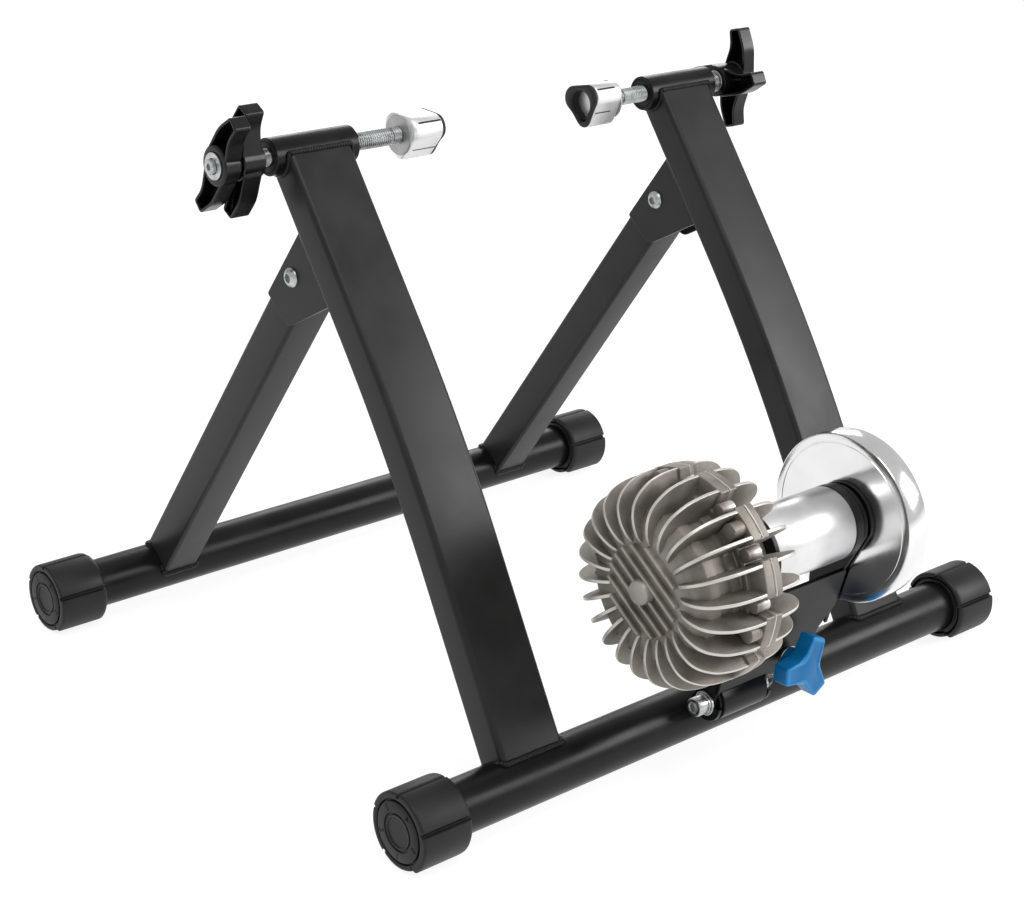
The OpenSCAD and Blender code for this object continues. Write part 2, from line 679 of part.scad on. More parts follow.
module impeller() placed() color(cast_grey) difference() {
    union() {
        bar_x(impeller_x, impeller_x + 4, 2 * impeller_r, roller_axis);
        bar_x(impeller_x, impeller_x + impeller_t, 2 * hub_ring_r, roller_axis);
        for (i = [0:vane_count - 1]) at_side(impeller_x + 1, roller_axis)
            rotate([i * 360 / vane_count, 0, 0]) translate([0, -vane_t / 2, hub_ring_r - vane_t])
                cube([impeller_t - 2, vane_t, impeller_r - hub_ring_r]);
    }
    bar_x(impeller_x - 1, impeller_x + impeller_t + 1, shaft_d + 2 * seat, roller_axis);
}

// Brake housing: two finned castings with a gasket between them
gasket_t = 0.8;
flange_out = 57;
flange_t = 11;
rear_flange_t = 5;
fin_pitch = 360 / fin_count;
fin_phase = 5.5;
patch_r = 32;
patch_rib_t = 2.4;
patch_rib_pitch = 8.4;
patch_rib_out = 2;
patch_rib_slope = -55;
boss_r = 8;
boss_out = 4.5;
face_step = 2.3;
front_wall = 6;
bridge_over = 2.4;
bridge_r = 55;
bridge_front = 7.6;
bridge_back = 6.3;
lug_r = 4.8;
lug_foot = drum_r - 4;
pillar_len = 17;
short_lug_len = 13;
screw_in = 10;
screw_cap_d = 7;
screw_cap_t = 4;
screw_key = 3.4;
screw_key_deep = 2.5;
cut_lap = 1;
module turned(x0) at_side(x0, roller_axis) rotate([0, 90, 0]) rotate_extrude($fn = 72)
    children();
// Faces a half of the housing flat at the joint: side is -1 for the front half
module joint_face(side) {
    face = -house_joint + side * gasket_t / 2;
    bar_x(side < 0 ? face : face - 3 * rear_flange_t, side < 0 ? face + 3 * rear_flange_t : face,
        2 * fin_r + rear_flange_t, roller_axis);
}
module fin_plate(outline) for (i = [0:fin_count - 1]) at_side(0, roller_axis)
    rotate([fin_phase + i * fin_pitch, 0, 0]) translate([0, fin_t / 2, 0]) rotate([90, 0, 0])
        linear_extrude(fin_t) polygon(outline);
front_fin = [[-house_front + 1.3, patch_r - 2], [-house_front - 1, patch_r + 3],
    [-house_front - 2.8, patch_r + 9], [-house_front - 3.3, patch_r + 15],
    [-house_front - 2.3, drum_r + 1], [-house_front + 0.3, fin_r - 12],
    [-house_front + 4.5, fin_r - 8], [-house_front + 11.5, fin_r - 4],
    [-house_front + 18.5, fin_r - 2], [-house_front + 27.5, fin_r - 0.7],
    [-house_front + 36.5, fin_r - 0.5], [-house_joint + cut_lap, fin_r - 0.5],
    [-house_joint + cut_lap, drum_r - 2], [-house_front + 4.5, drum_r - 2],
    [-house_front + 4.5, patch_r - 2]];
// Places between the fins. Bridges fill the even ones, every second bridge with
// a pillar for a screw, and short round lugs stand in the odd ones.
module fin_gaps(first, step) for (i = [first:step:fin_count - 1]) at_side(0, roller_axis)
    rotate([fin_phase + (i + 0.5) * fin_pitch, 0, 0]) children();
bridge_arc = fin_pitch + 2 * bridge_over;
module bridges(x1, x2) fin_gaps(0, 2) rotate([-180 - bridge_arc / 2, 0, 0])
    translate([x1, 0, 0]) rotate([0, 90, 0]) rotate_extrude(angle = bridge_arc)
        translate([bridge_r, 0]) square([fin_r - bridge_drop - bridge_r + 0.1, x2 - x1]);
module lugs(first, step, x1, x2) fin_gaps(first, step) {
    translate([x1, 0, screw_circle]) rotate([0, 90, 0]) cylinder(r = lug_r, h = x2 - x1);
    translate([x1 + cut_lap, 0.5 - lug_r, lug_foot])
        cube([x2 - x1 - 2 * cut_lap, 2 * lug_r - 1, screw_circle - lug_foot]);
}
module screw_holes(x1, x2, d) fin_gaps(2, 4) translate([x1, 0, screw_circle])
    rotate([0, 90, 0]) cylinder(d = d, h = x2 - x1);
module patch_ribs() intersection() {
    bar_x(-house_front - patch_rib_out, -house_front + 1, 2 * (patch_r - 1.5), roller_axis);
    for (k = [-3:3]) at_side(-house_front - patch_rib_out - 1, roller_axis)
        rotate([patch_rib_slope, 0, 0])
            translate([0, k * patch_rib_pitch - patch_rib_t / 2, -patch_r])
                cube([patch_rib_out + 3, patch_rib_t, 2 * patch_r]);
}
module housing_front() placed() color(cast_grey) difference() {
    union() {
        turned(-house_front) polygon([[0, 0], [patch_r, 0], [patch_r, face_step],
            [drum_r, face_step], [drum_r, house_front - house_joint - flange_t],
            [flange_out, house_front - house_joint - flange_t],
            [flange_out, house_front - house_joint + 2 * cut_lap],
            [0, house_front - house_joint + 2 * cut_lap]]);
        bar_x(-house_front - boss_out, -house_front + 2, 2 * boss_r, roller_axis);
        patch_ribs();
        fin_plate(front_fin);
        bridges(-house_joint - bridge_front, -house_joint + 3 * cut_lap);
        lugs(2, 4, -house_joint - pillar_len, -house_joint + 4 * cut_lap);
        lugs(1, 2, -house_joint - short_lug_len, -house_joint + 4 * cut_lap);
    }
    joint_face(-1);
    bar_x(-house_front + chamber_from, -house_joint + 1, 2 * chamber_r, roller_axis);
    bar_x(-house_front + front_wall + 3, -house_joint, 2 * (drum_r - 16), roller_axis);
    screw_holes(-house_joint - screw_in - 1, -house_joint + 1, screw_d + 2 * seat);
}
rear_fin = [[-house_joint - cut_lap, fin_r - 0.5], [-house_joint + 11, fin_r - 1],
    [-house_back - 9, fin_r - 2.5], [-house_back - 4, fin_r - 4.5], [-house_back - 1, fin_r - 8],
    [-house_back, fin_r - 12], [-house_back, drum_r - 2], [-house_back - 4, drum_r - 8],
    [-house_joint + 12, drum_r - 8], [-house_joint - cut_lap, drum_r - 3]];
rear_wall = 6;
hub_out_r = 21;
module housing_rear() placed() color(cast_grey) difference() {
    union() {
        turned(-house_joint + gasket_t / 2) polygon([[0, -2 * cut_lap],
            [flange_out, -2 * cut_lap], [flange_out, rear_flange_t],
            [drum_r - 4, rear_flange_t], [drum_r - 4, 16], [40, 22], [hub_out_r, 22],
            [hub_out_r, house_joint - flange_left - gasket_t / 2],
            [0, house_joint - flange_left - gasket_t / 2]]);
        fin_plate(rear_fin);
        bridges(-house_joint - 3 * cut_lap, -house_joint + bridge_back);
    }
    joint_face(1);
    bar_x(-house_joint - 1, -house_joint + 14 - rear_wall / 2, 2 * (chamber_r - 4), roller_axis);
    bar_x(-house_joint, 0, shaft_d + 2, roller_axis);
    bar_x(left_bearing_x, 0, bearing_d + 2 * seat, roller_axis);
    bar_x(left_bearing_x - seal_w - 1, left_bearing_x + 1, seal_d + 2 * seat, roller_axis);
    screw_holes(-house_joint - 1, -house_joint + bridge_back + 1, screw_d + 2 * seat);
}
module housing_gasket() placed() color(black_plastic)
    ring_x(-house_joint - gasket_t / 2, -house_joint + gasket_t / 2, 2 * flange_out,
        2 * chamber_r + 2, roller_axis);
module housing_screws() placed() color(zinc) fin_gaps(2, 4)
    translate([-house_joint, 0, screw_circle]) rotate([0, 90, 0]) difference() {
        union() {
            translate([0, 0, -screw_in]) cylinder(d = screw_d, h = screw_in + bridge_back);
            translate([0, 0, bridge_back]) cylinder(d = screw_cap_d, h = screw_cap_t);
        }
        translate([0, 0, bridge_back + screw_cap_t - screw_key_deep])
            cylinder(d = screw_key, h = screw_cap_t, $fn = 6);
    }
seal_w = 5;
seal_d = 26;
module shaft_seal() placed() color(black_plastic)
    ring_x(left_bearing_x - seal_w, left_bearing_x, seal_d, shaft_d + 2 * fit, roller_axis);

// Adjuster: a bolt in a post on the floor tube passes through the cradle's
// front plate, with a spring behind the plate and the blue knob ahead of it
post_t = 4;
post_y = -6;
post_w = 22;
post_over = 11;
module along_y(y1, y2, d) translate([adjust_x, y1, adjust_z]) rotate([-90, 0, 0])
    cylinder(d = d, h = y2 - y1);
module adjuster_post() placed() color(black_coat) difference() {
    translate([adjust_x - post_w / 2, post_y, foot_r])
        cube([post_w, post_t, adjust_z + post_over - foot_r]);
    bar_x(0, 2 * adjust_x + post_w, tube_d, rear_axis);
    along_y(post_y - 1, post_y + post_t + 1, adjust_d + 2 * seat);
}
bolt_tip = -adjust_y - 13;
bolt_head_t = 5;
module adjuster_bolt() placed() color(zinc) {
    along_y(bolt_tip, post_y + post_t, adjust_d);
    translate([adjust_x, post_y + post_t, adjust_z]) rotate([-90, 0, 0])
        cylinder(d = 1.6 * adjust_d, h = bolt_head_t, $fn = 6);
}

// Spring: one wire wound on a helix, its two ends straight for one diameter
web_here = tilt_axis[0] - web_front + sheet_t / cos(web_lean)
    - (adjust_z - tilt_axis[1]) * tan(web_lean);
spring_from = post_y - gap;
spring_to = web_here + gap + spring_d / 2 * tan(web_lean);
wire_sides = 6;
curl_rings = 8;
coil_r = (spring_d - spring_wire) / 2;
coil_span = spring_from - spring_to - 2 * spring_wire;
coil_rings = spring_turns * curl_rings;
function coil_at(k) = let (t = k / coil_rings, a = 360 * spring_turns * t)
    [adjust_x + coil_r * cos(a), spring_from - spring_wire - coil_span * t,
        adjust_z + coil_r * sin(a)];
lead_way = unit(coil_at(1) - coil_at(-1));
wire_middle = concat([coil_at(0) - spring_wire * lead_way],
    [for (k = [0:coil_rings]) coil_at(k)], [coil_at(coil_rings) + spring_wire * lead_way]);
wire_last = len(wire_middle) - 1;
function wire_ring(k) = let (a = 360 * min(max(k - 1, 0), coil_rings) / curl_rings)
    let (out = [cos(a), 0, sin(a)])
    [for (j = [0:wire_sides - 1]) let (w = 360 * j / wire_sides)
        wire_middle[k] + spring_wire / 2 * (cos(w) * out + [0, sin(w), 0])];
module adjuster_spring() placed() color(zinc) {
    points = [for (k = [0:wire_last]) each wire_ring(k)];
    last = len(points) - wire_sides;
    sides = [for (k = [0:wire_last - 1], j = [0:wire_sides - 1])
        let (a = k * wire_sides + j, b = k * wire_sides + (j + 1) % wire_sides)
        each [[a, b, a + wire_sides], [b, b + wire_sides, a + wire_sides]]];
    caps = [for (j = [1:wire_sides - 2]) each [[0, j + 1, j], [last, last + j, last + j + 1]]];
    polyhedron(points, concat(sides, caps));
}
// Least gap of the wire to itself, between points half a curl or more apart
echo(spring_least_gap = min([for (i = [0:wire_last], k = [i + curl_rings / 2:wire_last])
    norm(wire_middle[i] - wire_middle[k]) - spring_wire]));

// Saddle with a rounded back, zinc washer, nut and knob
saddle_d = 16;
zinc_d = 19.5;
zinc_t = 1.6;
saddle_front = -adjust_y + zinc_t;
saddle_r = 16;
saddle_reach = (saddle_r + gap) / cos(web_lean) + (adjust_z - tilt_axis[1]) * tan(web_lean)
    + web_front;
saddle_t = tilt_axis[0] - saddle_reach + saddle_r - saddle_front;
module adjuster_saddle() placed() color(zinc) difference() {
    intersection() {
        along_y(saddle_front, saddle_front + saddle_t + 1, saddle_d);
        translate([adjust_x - saddle_d, saddle_front - saddle_r + saddle_t, adjust_z])
            rotate([0, 90, 0]) cylinder(r = saddle_r, h = 2 * saddle_d, $fn = 96);
    }
    along_y(saddle_front - 1, saddle_front + saddle_t + 1, adjust_d + 2 * fit);
}
module adjuster_washer() placed() color(zinc) difference() {
    along_y(-adjust_y, -adjust_y + zinc_t, zinc_d);
    along_y(-adjust_y - 1, 0, adjust_d + 2 * fit);
}
knob_wing_t = 10;
knob_hub_d = 18;
knob_nut_d = 14.4;
knob_nut_t = 6.5;
knob_neck = 6;
module knob_outline() {
    circle(r = 10);
    for (a = [68, 179, -58]) rotate(a) polygon(rounded([[0, -knob_wing_t / 2 - 2],
        [knob_reach, -knob_wing_t / 2], [knob_reach, knob_wing_t / 2],
        [0, knob_wing_t / 2 + 2]], [0, 3, 3, 0]));
}
module adjuster_knob() placed() color(blue_plastic) difference() {
    union() {
        along_y(-adjust_y - knob_neck, -adjust_y, knob_hub_d);
        translate([adjust_x, -adjust_y - knob_neck, adjust_z]) rotate([90, 0, 0])
            linear_extrude(knob_deep - knob_neck) knob_outline();
    }
    along_y(-adjust_y - knob_deep + 2, 0, adjust_d + 2 * fit);
    translate([adjust_x, -adjust_y - knob_nut_t, adjust_z]) rotate([-90, 0, 0])
        cylinder(d = knob_nut_d + 2 * seat, h = 2 * knob_nut_t, $fn = 6);
}
module adjuster_knob_nut() placed() color(zinc) difference() {
    translate([adjust_x, -adjust_y - knob_nut_t, adjust_z]) rotate([-90, 0, 0])
        cylinder(d = knob_nut_d, h = knob_nut_t, $fn = 6);
    along_y(-adjust_y - knob_nut_t - 1, 0, adjust_d + 2 * fit);
}

rear_floor_tube();
front_floor_tube();
rear_left_foot();
rear_right_foot();
front_left_foot();
front_right_foot();
left_upright();
right_upright();
left_axle_tube();
right_axle_tube();
thread_bushes();
left_clamp_rod();
right_clamp_rod();
left_clamp_knob();
right_clamp_knob();
left_knob_screw();
right_knob_screw();
left_lock_insert();
right_lock_insert();
left_lock_knob();
right_lock_knob();
left_cup();
right_cup();
left_cup_liner();
right_cup_liner();
left_strut();
right_strut();
left_bracket();
right_bracket();
fold_bolts();
fold_nuts();
fold_washers();
fold_sleeves();
pivot_barrel();
pivot_bushes();
pivot_bolt();
pivot_washers();
pivot_nut();
cradle();
bearing_cup();
roller_bearings();
roller_shaft();
roller();
flywheel();
flywheel_spacer();
flywheel_nut();
housing_front();
housing_rear();
housing_gasket();
housing_screws();
shaft_seal();
impeller();
adjuster_post();
adjuster_bolt();
adjuster_spring();
adjuster_saddle();
adjuster_washer();
adjuster_knob();
adjuster_knob_nut();
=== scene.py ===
import math
import bpy
import bmesh
import numpy as np
from mathutils import Matrix


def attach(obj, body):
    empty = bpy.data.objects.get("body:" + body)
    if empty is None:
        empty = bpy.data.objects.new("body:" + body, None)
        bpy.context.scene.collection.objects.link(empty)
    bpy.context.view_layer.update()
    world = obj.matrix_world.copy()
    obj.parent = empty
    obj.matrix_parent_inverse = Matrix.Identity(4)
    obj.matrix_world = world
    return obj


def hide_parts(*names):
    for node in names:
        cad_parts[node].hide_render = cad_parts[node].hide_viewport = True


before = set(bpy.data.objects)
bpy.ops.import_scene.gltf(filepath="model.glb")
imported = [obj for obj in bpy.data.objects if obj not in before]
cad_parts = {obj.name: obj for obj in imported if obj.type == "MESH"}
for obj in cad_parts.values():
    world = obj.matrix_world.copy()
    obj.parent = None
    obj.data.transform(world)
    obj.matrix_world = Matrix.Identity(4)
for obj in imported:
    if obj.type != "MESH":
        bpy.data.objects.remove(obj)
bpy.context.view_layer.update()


# Floor tubes
# Two round steel tubes, 36 mm across, saw-cut, welded under the uprights and
# struts and powder-coated satin black. The coat has a fine orange peel.
def grid(rows, cols, round_rows=False, round_cols=True):
    """Quads between neighbours in a grid of rows x cols points, numbered row by row."""
    r = np.arange(rows if round_rows else rows - 1)[:, None]
    c = np.arange(cols if round_cols else cols - 1)[None, :]
    down, right = (r + 1) % rows, (c + 1) % cols
    return np.stack([r * cols + c, r * cols + right, down * cols + right, down * cols + c],
                    -1).reshape(-1, 4)


def around(x, r, a, centre):
    """Points (x, cy + r cos a, cz + r sin a)."""
    x, r, a = np.broadcast_arrays(x, r, a)
    return np.stack([x, centre[0] + r * np.cos(a), centre[1] + r * np.sin(a)], -1)


def stacked(rows, capped=True, looped=False):
    """Rings of equal point counts joined row by row, closed flat at both ends if capped."""
    rows = np.asarray(rows, float)
    count, size = rows.shape[:2]
    faces = [grid(count, size, looped)]
    if capped:
        faces += [np.arange(size)[None, :], (count - 1) * size + np.arange(size)[None, ::-1]]
    return rows.reshape(-1, 3), faces


def revolve(profile, centre, steps=96, start=0.0, way=1):
    """Points (start + way x_i, cy + r_i cos a, cz + r_i sin a) for each row (x_i, r_i) and
    angle a. A row (x_i, r_i, apothem) is a hexagon cut by the circle of radius r_i."""
    a = np.linspace(0, 2 * np.pi, steps, endpoint=False)
    hexagon = 1 / np.cos(a % (np.pi / 3) - np.pi / 6)
    x = np.array([[start + way * row[0]] for row in profile], float)
    r = np.array([np.minimum(row[1], (row[2] if len(row) > 2 else np.inf) * hexagon)
                  for row in profile])
    return stacked(around(x, r, a, centre), False)


def join(shapes):
    """All shapes as one: each shape's face numbers move up by the points before it."""
    counts = np.cumsum([0] + [len(points) for points, faces in shapes])
    faces = [f + n for (points, faces), n in zip(shapes, counts) for f in faces]
    return np.concatenate([points for points, faces in shapes]), faces


def piece(name, shape, body, look, *nodes, angle=32.0, bevel=0.0, edge=None):
    """Mesh of a shape in millimetres, welded, facing outward, smooth up to an angle."""
    points, faces = shape
    material, slot = look
    mesh = bpy.data.meshes.new(name)
    mesh.from_pydata((np.asarray(points, float) / 1000).tolist(), [],
                     [row for f in faces for row in np.asarray(f).tolist()])
    if edge is not None:
        mesh.attributes.new("edge", "FLOAT", "POINT").data.foreach_set(
            "value", np.asarray(edge, np.float32))
    work = bmesh.new()
    work.from_mesh(mesh)
    bmesh.ops.remove_doubles(work, verts=work.verts, dist=2e-6)
    bmesh.ops.dissolve_degenerate(work, edges=work.edges, dist=1e-6)
    bmesh.ops.recalc_face_normals(work, faces=work.faces)
    work.to_mesh(mesh)
    work.free()
    mesh.shade_smooth()
    obj = bpy.data.objects.new(name, mesh)
    bpy.context.scene.collection.objects.link(obj)
    mesh.materials.append(material)
    if bevel:
        soft = obj.modifiers.new("Edge", "BEVEL")
        soft.width = bevel / 1000
        soft.segments = 2
        soft.limit_method = "ANGLE"
        soft.angle_limit = math.radians(angle)
        soft.harden_normals = True
    else:
        mesh.set_sharp_from_angle(angle=math.radians(angle))
    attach(obj, body)
    if nodes:
        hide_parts(*nodes)
    return obj


def fill(tree, node, inputs):
    """Give a node's inputs values, or links where a socket stands in place of a value."""
    for key, value in inputs.items():
        if isinstance(value, bpy.types.NodeSocket):
            tree.links.new(value, node.inputs[key])
        else:
            node.inputs[key].default_value = value
    return node


def add(tree, kind, inputs, **settings):
    """New shader node of a kind with its settings, then its inputs."""
    node = tree.nodes.new("ShaderNode" + kind)
    for key, value in settings.items():
        setattr(node, key, value)
    return fill(tree, node, inputs)


def noise_group(name, turned=False):
    """Group with a noise mask: in the object's space, or over the distance from an X axis."""
    group = bpy.data.node_groups.new(name, "ShaderNodeTree")
    for socket, kind in (("Scale", "NodeSocketFloat"), ("Detail", "NodeSocketFloat"),
                         ("Stretch", "NodeSocketVector"), ("Centre", "NodeSocketVector")):
        group.interface.new_socket(socket, in_out="INPUT", socket_type=kind)
    group.interface.new_socket("Mask", in_out="OUTPUT", socket_type="NodeSocketFloat")
    given = group.nodes.new("NodeGroupInput").outputs
    result = group.nodes.new("NodeGroupOutput")
    where = add(group, "TexCoord", {}).outputs["Object"]
    moved = add(group, "VectorMath", {0: where, 1: given["Centre"]}, operation="SUBTRACT")
    pulled = add(group, "VectorMath", {0: moved.outputs[0], 1: given["Stretch"]},
                 operation="MULTIPLY").outputs[0]
    size = {"Scale": given["Scale"], "Detail": given["Detail"]}
    if turned:
        length = add(group, "VectorMath", {0: pulled}, operation="LENGTH").outputs["Value"]
        noise = add(group, "TexNoise", {"W": length, **size}, noise_dimensions="1D")
    else:
        noise = add(group, "TexNoise", {"Vector": pulled, **size})
    fill(group, result, {"Mask": noise.outputs["Fac"]})
    return group


grain_group = noise_group("Grain")
turned_group = noise_group("Turned", turned=True)


def surface(name, slot, dark, light, rough, cloud=25.0, grain=900.0, bump=0.15, depth=0.1,
            metallic=0.0, edge=None, edge_rough=0.3, stretch=(1, 1, 1), detail=4.0, spots=None,
            axis=None, specular=0.5):
    """Material and its slot: clouded colour and roughness, a fine bump, and lighter edges from
    the edge attribute: wear and cut faces on the castings, a painted highlight on the blue knob.
    With an axis, the bump is made of turning marks round it."""
    made = bpy.data.materials.new(name)
    made.use_nodes = True
    tree = made.node_tree
    fine_group, centre = grain_group, (0, 0, 0)
    if axis is not None:
        fine_group, stretch, centre = turned_group, (0, 1, 1), (0, axis[0] / 1000, axis[1] / 1000)

    def mask(scale, fine, pull=(1, 1, 1), kind=grain_group):
        return add(tree, "Group", {"Scale": scale, "Detail": fine, "Stretch": pull,
                                   "Centre": centre}, node_tree=kind).outputs["Mask"]

    def spread(value, low, high, to_low=0, to_high=1):
        return add(tree, "MapRange", {"From Min": low, "From Max": high, "To Min": to_low,
                                      "To Max": to_high, "Value": value}).outputs["Result"]

    def blend(factor, first, second):
        first, second = [(*np.broadcast_to(value, 3).tolist(), 1)
                         if isinstance(value, (float, tuple)) else value
                         for value in (first, second)]
        return add(tree, "Mix", {"Factor": factor, "A": first, "B": second},
                   data_type="RGBA").outputs["Result"]

    clouds = mask(cloud, 3.0)
    fine = mask(grain, detail, stretch, fine_group)
    colour = blend(spread(clouds, 0.35, 0.65), dark, light)
    roughness = spread(clouds, 0.3, 0.7, *rough)
    if spots:
        scale, level, fleck_colour = spots
        colour = blend(spread(mask(scale, 2.0), level, level + 0.06), colour, fleck_colour)
    # Lighter edges: wear on the castings, painted highlight on the blue knob.
    if edge:
        cut = add(tree, "Attribute", {}, attribute_name="edge")
        wear_and_highlight = spread(cut.outputs["Fac"], 0.2, 0.8)
        colour = blend(wear_and_highlight, colour, edge)
        roughness = add(tree, "Mix", {"Factor": wear_and_highlight, "A": roughness,
                                      "B": edge_rough}).outputs["Result"]
    raised = add(tree, "Bump", {"Strength": bump, "Distance": depth / 1000, "Height": fine})
    fill(tree, tree.nodes["Principled BSDF"],
         {"Base Color": colour, "Metallic": metallic, "Roughness": roughness,
          "Specular IOR Level": specular, "Normal": raised.outputs["Normal"]})
    return made, slot


black_coat = surface("Black powder coat", "black_coat", 0.0035, 0.0065, (0.28, 0.38), cloud=30,
                     grain=700, bump=0.2, depth=0.12, specular=0.2, spots=(420, 0.735, 0.02))
REAR, FRONT = np.array([-167.25, 24.7]), np.array([256.75, 24.7])
tube_profile = [(-269, 16.2), (-269, 17.4), (-268.4, 18), (268.4, 18), (269, 17.4), (269, 16.2),
                (-269, 16.2)]
for name, centre, body in (("rear_floor_tube", REAR, "stand"), ("front_floor_tube", FRONT, "legs")):
    piece(name + "_skin", revolve(tube_profile, centre, 128), body, black_coat, name)


# Feet
# Four moulded caps that turn on the tube's ends. The rim stands in five steps
# of radius, parted by slots, so that turning one levels the stand. The closed
# face has two ring grooves and a numeral for each step.
foot_plastic = surface("Foot plastic", "foot_plastic", 0.006, 0.01, (0.42, 0.55), cloud=40,
                       grain=1500, bump=0.3, depth=0.08, specular=0.3, spots=(300, 0.73, 0.025))
FOOT_FACE, STEP_ANGLE, STEP_RISE = 272.5, 72, 0.5


def foot(side, centre):
    """x and r of a ring profile; the outer rings' r follows the step at the angle a,
    less a slot depth where a is within the slot between two steps."""
    steps = 360
    a = np.arange(steps) * 2 * np.pi / steps
    turn = (np.degrees(a) + 90 + STEP_ANGLE / 2) % 360
    from_slot = np.minimum(turn % STEP_ANGLE, STEP_ANGLE - turn % STEP_ANGLE)
    outer = REAR[1] + STEP_RISE * np.floor(turn / STEP_ANGLE)
    slot = np.clip((3.2 - from_slot) / 1.2, 0, 1)
    # distance from the closed face, radius (on the rim: how far past the step), slot depth
    rows = [(0.8, 0.0, 0), (0.8, 9.6, 0), (0.2, 10.0, 0), (0.0, 10.6, 0), (0.0, 11.2, 0),
            (0.9, 11.6, 0), (0.9, 12.6, 0), (0.0, 13.0, 0), (0.0, 19.2, 0), (0.5, 19.8, 0),
            (2.6, 19.9, 0), (2.6, 21.0, 0), (0.9, 21.1, 0), (0.4, 21.6, 0), (0.2, -1.4, 1.6),
            (0.5, -0.6, 2.4), (1.2, -0.1, 2.8), (2.0, 0.0, 2.8), (34.5, 0.0, 2.8),
            (36.6, -0.3, 2.8), (37.6, -1.1, 2.2), (38.0, -2.0, 1.4), (38.0, -3.0, 0.4),
            (33.0, -3.2, 0), (33.0, -4.6, 0), (37.2, -4.8, 0), (37.6, -5.2, 0), (37.6, 18.9, 0),
            (37.0, 18.2, 0), (28.0, 18.1, 0), (28.0, 0.0, 0)]
    x, offset, cut = np.array(rows).T[:, :, None]
    rim = (offset < 0) | (x == 2.0) | (x == 34.5)
    r = np.where(rim, outer + offset - cut * slot, offset)
    return stacked(around(side * (FOOT_FACE - x), r, a, centre), False)


def numeral(text, side, centre, angle):
    """Flat raised figure on the foot's face, its foot towards the middle."""
    curve = bpy.data.curves.new("figure", "FONT")
    curve.body = text
    curve.size = 6.4
    curve.extrude = 0.35
    curve.align_x = "CENTER"
    curve.align_y = "CENTER"
    holder = bpy.data.objects.new("figure", curve)
    mesh = bpy.data.meshes.new_from_object(holder)
    flat = np.empty(len(mesh.vertices) * 3)
    mesh.vertices.foreach_get("co", flat)
    flat = flat.reshape(-1, 3)
    faces = [np.array([list(f.vertices)]) for f in mesh.polygons]
    bpy.data.objects.remove(holder)
    u, v = flat[:, 0], flat[:, 1] + 16.2
    across = np.array([-math.sin(angle), math.cos(angle)]) * (1 if side > 0 else -1)
    out = np.array([math.cos(angle), math.sin(angle)])
    points = np.stack([side * (FOOT_FACE + flat[:, 2] * 0.6 - 0.05),
                       centre[0] + u * across[0] + v * out[0],
                       centre[1] + u * across[1] + v * out[1]], -1)
    return points, faces


for name, side, centre in (("rear_left_foot", -1, REAR), ("rear_right_foot", 1, REAR),
                           ("front_left_foot", -1, FRONT), ("front_right_foot", 1, FRONT)):
    piece(name + "_cap", foot(side, centre), name, foot_plastic, name, angle=40)
    figures = join([numeral(str(i + 1), side, centre, math.radians(-90 + STEP_ANGLE * i))
                    for i in range(5)])
    figures[0][:, 0] -= side * 0.16
    piece(name + "_figures", figures, name, foot_plastic)


# Uprights
# Rectangular steel tube, 50 by 25.5 mm, bent a little at mid height, coped over
# the floor tube and welded all round, with a ripple bead that the coat covers.
def fillet(corners, radii, steps=6):
    """Outline with each corner replaced by an arc tangent to both of its sides."""
    out = []
    corners = [np.asarray(c, float) for c in corners]
    for i, (b, r) in enumerate(zip(corners, radii)):
        a, c = corners[i - 1], corners[(i + 1) % len(corners)]
        if r <= 0:
            out.append(b[None, :])
            continue
        u, v = (a - b) / np.linalg.norm(a - b), (c - b) / np.linalg.norm(c - b)
        half = math.acos(float(np.clip(u @ v, -1, 1))) / 2
        middle = b + (u + v) / np.linalg.norm(u + v) * r / math.sin(half)
        start = b + u * r / math.tan(half) - middle
        way = -1 if u[0] * v[1] - u[1] * v[0] > 0 else 1
        w = way * (np.pi - 2 * half) * np.linspace(0, 1, steps + 1)
        out.append(np.stack([middle[0] + start[0] * np.cos(w) - start[1] * np.sin(w),
                             middle[1] + start[0] * np.sin(w) + start[1] * np.cos(w)], -1))
    return np.concatenate(out)


def sweep(section, path, side, closed=False):
    """Points path_i + s_0 * side_i + s_1 * (tangent_i x side_i), ends closed flat."""
    path, section = np.asarray(path, float), np.asarray(section, float)
    if closed:
        along = np.roll(path, -1, 0) - np.roll(path, 1, 0)
    else:
        along = np.gradient(path, axis=0)
    along /= np.linalg.norm(along, axis=1)[:, None]
    side = np.broadcast_to(np.asarray(side, float), path.shape)
    side = side - along * np.sum(side * along, 1)[:, None]
    side = side / np.linalg.norm(side, axis=1)[:, None]
    up = np.cross(along, side)
    if section.ndim == 2:
        section = np.broadcast_to(section, (len(path),) + section.shape)
    points = (path[:, None, :] + section[:, :, :1] * side[:, None, :]
              + section[:, :, 1:] * up[:, None, :])
    return stacked(points, not closed, closed)


def smooth_path(path, step, closed=False):
    """The path's points at even distances of about one step."""
    path = np.asarray(path, float)
    if closed:
        path = np.concatenate([path, path[:1]])
    length = np.concatenate([[0], np.cumsum(np.linalg.norm(np.diff(path, axis=0), axis=1))])
    count = max(int(length[-1] / step), 4)
    at = np.linspace(0, length[-1], count + (0 if closed else 1), endpoint=not closed)
    return np.stack([np.interp(at, length, path[:, k]) for k in range(3)], -1)


def bead(path, radius, side, closed=False, seed=1, ripple=2.1, step=0.42):
    """Weld bead: a tube whose radius is r (1 + 0.13 (|sin(pi s / ripple)| - 1/2) + slow waves),
    with s the length along the path; an open bead tapers at both ends."""
    path = smooth_path(path, step, closed)
    s = np.arange(len(path)) * step
    wave = 1 + 0.13 * (np.abs(np.sin(np.pi * s / ripple)) - 0.5)
    wave += 0.05 * np.sin(s * 0.23 + seed) + 0.04 * np.sin(s * 0.61 + 2 * seed)
    if not closed:
        wave *= np.clip(np.minimum(s, s[::-1]) / radius, 0.15, 1) ** 0.5
    a = np.linspace(0, 2 * np.pi, 14, endpoint=False)
    ring = np.stack([np.cos(a), np.sin(a)], -1)
    return sweep(radius * wave[:, None, None] * ring[None], path, side, closed)


